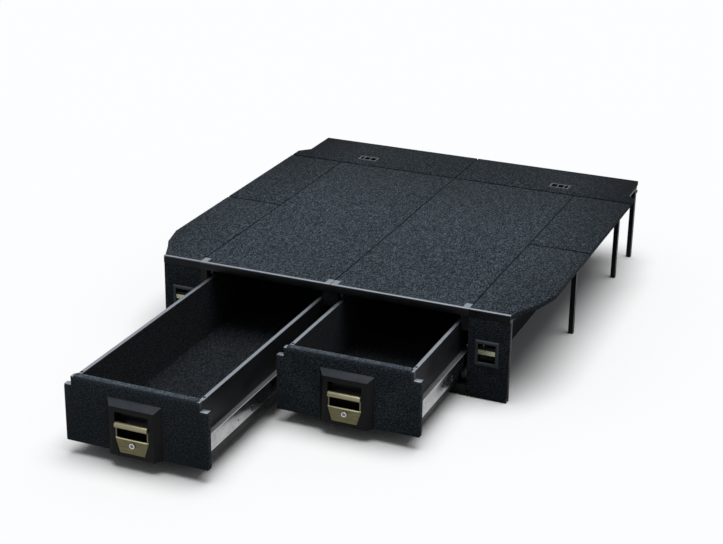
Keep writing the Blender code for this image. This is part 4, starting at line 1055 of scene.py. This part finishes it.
class DRAWERS_OT_handles(SideStep, Operator):
    """Build the pull handles: a pressed plate with a slot, a rolled edge and a grip bar"""

    bl_idname = "drawers.handles"
    bl_label = "Pull handles"

    # How far the plate's front stands behind the middle of the grip.
    plate_back = 0.001

    def build_side(self, side, hand, sizes):
        node = f"{side}_pull_handle"
        low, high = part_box(node)
        middle = middle_of(node)
        grip_place = low.y + sizes.grip_radius
        grip_height = high.z - sizes.grip_radius
        front = grip_place + self.plate_back
        back = front + sizes.plate_thickness
        slot_half = (high.x - low.x) / 2 - sizes.arm_width
        lock = (middle, low.z + sizes.lock_height)
        plate = add_block(f"{side}_grip_handle", (low.x, front, low.z), (high.x, back, grip_height))
        self.press_plate(plate, low.z, middle, slot_half, sizes)
        self.cut_lock_hole(plate, lock, (front, back), sizes)
        join(
            plate.name,
            plate,
            self.add_grip((grip_place, grip_height), (low.x, high.x), sizes),
            self.add_bead(front, middle, slot_half, sizes),
            self.add_pin(back, low.z, middle, sizes),
            self.add_ring(lock, (front, back), sizes),
        )
        dress(plate, "olive_metal", f"{side}_handle", node)

    def press_plate(self, plate, foot, middle, slot_half, sizes):
        """Narrows the plate to its foot, opens the slot and sinks the field inside the border."""
        border_slope = 0.0012
        width = 2 * (slot_half + sizes.arm_width)
        slice_at(
            plate,
            *(((0, 0, height), UP) for height in (sizes.kink_height, sizes.slot_foot, sizes.slot_top)),
            *(((middle + turn * slot_half, 0, 0), ACROSS) for turn in (-1, 1)),
        )
        shares = (sizes.foot_width / width, 1, 1)
        resize_points(plate, shares, (middle, 0, foot), lambda point: point.co.z < foot + NEARBY)

        def in_slot(face):
            place = face.calc_center_median()
            level = sizes.slot_foot < place.z < sizes.slot_top
            return abs(face.normal.y) > FACING_SHARE and abs(place.x - middle) < slot_half and level

        choose(plate, "FACE", in_slot)
        bpy.ops.mesh.bridge_edge_loops()
        forward = facing(0, -1, 0)
        inset(
            plate,
            lambda face: forward(face) and face.calc_center_median().z < sizes.slot_foot,
            (sizes.border, 0),
            (border_slope, -sizes.border_rise),
        )

    def cut_lock_hole(self, plate, lock, span, sizes):
        """The hole that the lock turns in; the plate's edges are rounded with it."""
        gap = 0.0004
        front, back = span
        hole = add_rod("hole", "Y", lock, sizes.lock_radius + gap, (front - OVERRUN, back + OVERRUN), 48)
        carve(plate, hole)
        round_edges(plate, sizes.pressed_edge, 3)

    def add_grip(self, place, span, sizes):
        end_radius = 0.0032
        grip = add_rod("grip", "X", place, sizes.grip_radius, span, 48)
        round_edges(grip, end_radius, 4, 60)
        return grip

    def add_bead(self, front, middle, slot_half, sizes):
        """The rolled edge under the slot."""
        overlap, edge = 0.001, 0.0008
        half = slot_half + overlap
        place = (front, sizes.slot_foot - sizes.bead_radius / 2)
        bead = add_rod("bead", "X", place, sizes.bead_radius, (middle - half, middle + half), 24)
        round_edges(bead, edge, 2, 60)
        return bead

    def add_pin(self, back, foot, middle, sizes):
        """The hinge pin behind the foot of the plate."""
        height, radius, reach = 0.0055, 0.0025, 0.005
        half = sizes.foot_width / 2 + reach
        return add_rod("pin", "X", (back, foot + height), radius, (middle - half, middle + half), 20)

    def add_ring(self, lock, span, sizes):
        """The raised ring round the lock."""
        width, rise, back_gap, wall, edge = 0.0028, 0.0004, 0.001, 0.0024, 0.0005
        front, back = span
        ring = add_rod("ring", "Y", lock, sizes.lock_radius + width, (front - rise, back - back_gap), 48)
        inset(ring, lambda face: abs(face.normal.y) > FACING_SHARE, (wall, 0))
        bpy.ops.mesh.bridge_edge_loops()
        round_edges(ring, edge, 2, 60)
        return ring


class DRAWERS_OT_locks(SideStep, Operator):
    """Build the lock barrels with their rim, plug and keyway"""

    bl_idname = "drawers.locks"
    bl_label = "Locks"

    def build_side(self, side, hand, sizes):
        node = f"{side}_lock_barrel"
        low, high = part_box(node)
        middle = middle_of(node)
        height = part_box(f"{side}_pull_handle")[0].z + sizes.lock_height
        self.build_barrel(side, node, (middle, height), sizes)
        self.build_cam(side, middle, height, high)
        self.build_plug(side, middle, height, low.y, sizes)

    def build_barrel(self, side, node, place, sizes):
        """The barrel, with a sunk face inside its rim."""
        back_gap, plug_gap = 0.003, 0.0008
        wall_slope, face_depth, edge = 0.0004, 0.0034, 0.0006
        low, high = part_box(node)
        radius = sizes.lock_radius
        barrel = add_rod(f"{side}_lock", "Y", place, radius, (low.y, high.y - back_gap), 48)
        rim = radius - sizes.plug_radius - plug_gap
        inset(barrel, facing(0, -1, 0), (rim, 0), (wall_slope, -face_depth))
        round_edges(barrel, edge, 3, 40)
        dress(barrel, "chrome", f"{side}_lock", node)

    def build_cam(self, side, middle, height, high):
        """The tongue behind the barrel."""
        half, thickness, edge = 0.006, 0.0032, 0.0012
        cam = add_block(
            f"{side}_lock_cam", (middle - half, high.y - thickness, height - half), (middle + half, *high.yz)
        )
        round_edges(cam, edge, 3)
        dress(cam, "black_steel", f"{side}_lock")

    def build_plug(self, side, middle, height, front, sizes):
        """The part that takes the key, with its keyway."""
        face, depth, edge = 0.0006, 0.004, 0.0004
        key_half, key_height, key_depth = 0.0009, 0.0042, 0.0028
        radius = sizes.plug_radius
        plug = add_rod(f"{side}_lock_plug", "Y", (middle, height), radius, (front + face, front + depth))
        keyway = add_block(
            "keyway",
            (middle - key_half, front - OVERRUN, height - key_height),
            (middle + key_half, front + key_depth, height + key_height),
        )
        carve(plug, keyway)
        round_edges(plug, edge, 2, 40)
        dress(plug, "plug", f"{side}_lock", slot="chrome")


class DRAWERS_OT_door_pulls(SideStep, Operator):
    """Build the paddles of the small doors with their shields and screws"""

    bl_idname = "drawers.door_pulls"
    bl_label = "Door pulls"

    def build_side(self, side, hand, sizes):
        paddle_edge = 0.0008
        node = f"{side}_door_pull_paddle"
        low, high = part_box(node)
        refine(node, "paddle_coat", paddle_edge, 3, f"{side}_door_paddle", "olive_metal")
        self.add_shield(side, low, high)
        self.add_screw(side, hand, middle_of(node), high.z)

    def add_shield(self, side, low, high):
        """A plate in the recess above the paddle."""
        side_gap, foot_gap, height = 0.004, 0.0012, 0.0085
        front, back, edge = 0.0032, 0.0052, 0.0005
        shield = add_block(
            f"{side}_door_pull_shield",
            (low.x + side_gap, low.y + front, high.z + foot_gap),
            (high.x - side_gap, low.y + back, high.z + height),
        )
        round_edges(shield, edge)
        dress(shield, "black_plastic", f"{side}_door")

    def add_screw(self, side, hand, middle, top):
        """The screw at the back of the recess, nearer to the module."""
        shift, rise, radius = 0.018, 0.007, 0.0027
        wall, head, foot = 0.0024, 0.0012, 0.0004
        socket, socket_depth = 0.0013, 0.0006
        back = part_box(f"{side}_door_pull_bezel")[1].y - wall
        place = (middle - hand * shift, top + rise)
        screw = add_rod(f"{side}_recess_screw", "Y", place, radius, (back - head, back + foot), 20)
        inset(screw, facing(0, -1, 0), (socket, -socket_depth))
        dress(screw, "zinc", f"{side}_door")


class DRAWERS_OT_rollers(SideStep, Operator):
    """Round the edges of the rollers and of the small latch parts"""

    bl_idname = "drawers.rollers"
    bl_label = "Rollers and latches"

    def build_side(self, side, hand, sizes):
        tread_edge, hook_edge = 0.0008, 0.0005
        for place in ("outer", "inner"):
            refine(f"{side}_drawer_{place}_rear_roller", "nylon", tread_edge)
        for place in ("outer", "inner"):
            refine(f"{side}_{place}_front_roller", "dark_nylon", tread_edge, slot="nylon")
        refine(f"{side}_latch_hook", "zinc", hook_edge)
        refine(f"{side}_floor_tie", "black_steel", sizes.edge)


def shown_rays(tree):
    """One for what the camera, a reflection or clear glass looks at, and nothing for bounced light."""
    path = tree.nodes.new("ShaderNodeLightPath")
    shown = path.outputs["Is Camera Ray"]
    for kind in ("Is Glossy Ray", "Is Transmission Ray"):
        either = tree.nodes.new("ShaderNodeMath")
        either.operation = "MAXIMUM"
        tree.links.new(shown, either.inputs[0])
        tree.links.new(path.outputs[kind], either.inputs[1])
        shown = either.outputs[0]
    return shown


class DRAWERS_OT_stage(BuildStep, Operator):
    """Lay the floor, light the studio and set the camera"""

    bl_idname = "drawers.stage"
    bl_label = "Stage"

    def build(self, sizes):
        self.lay_floor()
        self.light_studio()
        self.set_camera()
        bpy.context.scene.view_settings.view_transform = "Standard"

    def lay_floor(self):
        width, shown_share = 80, 0.21
        deselect()
        bpy.ops.mesh.primitive_grid_add(x_subdivisions=8, y_subdivisions=8, size=width)
        floor = settle("studio_floor")
        tint = bpy.context.scene.drawer_colours.floor
        finish = Finish("studio_paper", tint, 0.9, Specular_IOR_Level=0.0)
        shown = Field(finish, shown_rays(finish.tree))
        finish.set("Base Color", finish.mix(shown, scaled(tint, shown_share), tint))
        floor.data.materials.append(finish.material)

    def light_studio(self):
        """A bright backdrop that lights the part faintly, and one wide light from above."""
        backdrop_tint = (0.97, 0.985, 1.0, 1)
        backdrop_light, backdrop_shown = 0.18, 1.0
        light_strength, light_spread = 2.6, math.radians(50)
        light_turn = (math.radians(-2), math.radians(4), 0)
        world = bpy.data.worlds.new("studio")
        bpy.context.scene.world = world
        world.use_nodes = True
        tree = world.node_tree
        background = tree.nodes["Background"]
        background.inputs["Color"].default_value = backdrop_tint
        level = tree.nodes.new("ShaderNodeMapRange")
        level.inputs["To Min"].default_value = backdrop_light
        level.inputs["To Max"].default_value = backdrop_shown
        tree.links.new(shown_rays(tree), level.inputs["Value"])
        tree.links.new(level.outputs[0], background.inputs["Strength"])
        deselect()
        bpy.ops.object.light_add(type="SUN", rotation=light_turn)
        light = bpy.context.object
        light.name = "overhead_light"
        light.data.energy = light_strength
        light.data.angle = light_spread

    def set_camera(self):
        """The view that the part was measured from; its place counts from the front edge of the deck."""
        yaw, pitch, roll = math.radians(-22.57), math.radians(-21.94), math.radians(0.89)
        east, ahead_of_lip, height = 2.0682, 4.6992, 2.4356
        sensor, picture_width, focal_pixels, farthest = 36, 723, 1631.8, 200
        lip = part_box("left_deck_nosing")[0].y
        ahead = Vector((math.sin(yaw) * math.cos(pitch), math.cos(yaw) * math.cos(pitch), math.sin(pitch)))
        level = Vector((math.cos(yaw), -math.sin(yaw), 0))
        upright = level.cross(ahead)
        right = math.cos(roll) * level + math.sin(roll) * upright
        up = math.cos(roll) * upright - math.sin(roll) * level
        deselect()
        bpy.ops.object.camera_add()
        camera = bpy.context.object
        camera.name = "studio_camera"
        turn = Matrix((right, up, -ahead)).transposed().to_4x4()
        camera.matrix_world = Matrix.Translation((east, lip - ahead_of_lip, height)) @ turn
        camera.data.sensor_width = sensor
        camera.data.lens = focal_pixels / picture_width * sensor
        camera.data.clip_end = farthest
        bpy.context.scene.camera = camera


STEPS = (
    DRAWERS_OT_surfaces,
    DRAWERS_OT_boards,
    DRAWERS_OT_linings,
    DRAWERS_OT_front_edge,
    DRAWERS_OT_runners,
    DRAWERS_OT_fronts,
    DRAWERS_OT_guides,
    DRAWERS_OT_surrounds,
    DRAWERS_OT_handles,
    DRAWERS_OT_locks,
    DRAWERS_OT_door_pulls,
    DRAWERS_OT_rollers,
    DRAWERS_OT_stage,
)


class DRAWERS_PT_sidebar(Panel):
    """Lists the sizes, the colours and the building steps"""

    bl_idname = "DRAWERS_PT_sidebar"
    bl_label = "Ute drawer system"
    bl_space_type = "VIEW_3D"
    bl_region_type = "UI"
    bl_category = "Drawers"

    def draw(self, context):
        for group in (context.scene.drawer_sizes, context.scene.drawer_colours):
            box = self.layout.box()
            for name in group.__annotations__:
                box.prop(group, name)
        for step in STEPS:
            self.layout.operator(step.bl_idname)


CLASSES = (DrawerSystemSizes, DrawerSystemColours, *STEPS, DRAWERS_PT_sidebar)


def register():
    for item in CLASSES:
        bpy.utils.register_class(item)
    bpy.types.Scene.drawer_sizes = PointerProperty(type=DrawerSystemSizes)
    bpy.types.Scene.drawer_colours = PointerProperty(type=DrawerSystemColours)


def unregister():
    del bpy.types.Scene.drawer_sizes
    del bpy.types.Scene.drawer_colours
    for item in reversed(CLASSES):
        bpy.utils.unregister_class(item)


def main():
    register()
    for step in STEPS:
        group, name = step.bl_idname.split(".")
        if getattr(getattr(bpy.ops, group), name)() != {"FINISHED"}:
            raise RuntimeError(f"{step.bl_label} was not finished")


if __name__ == "__main__":
    main()
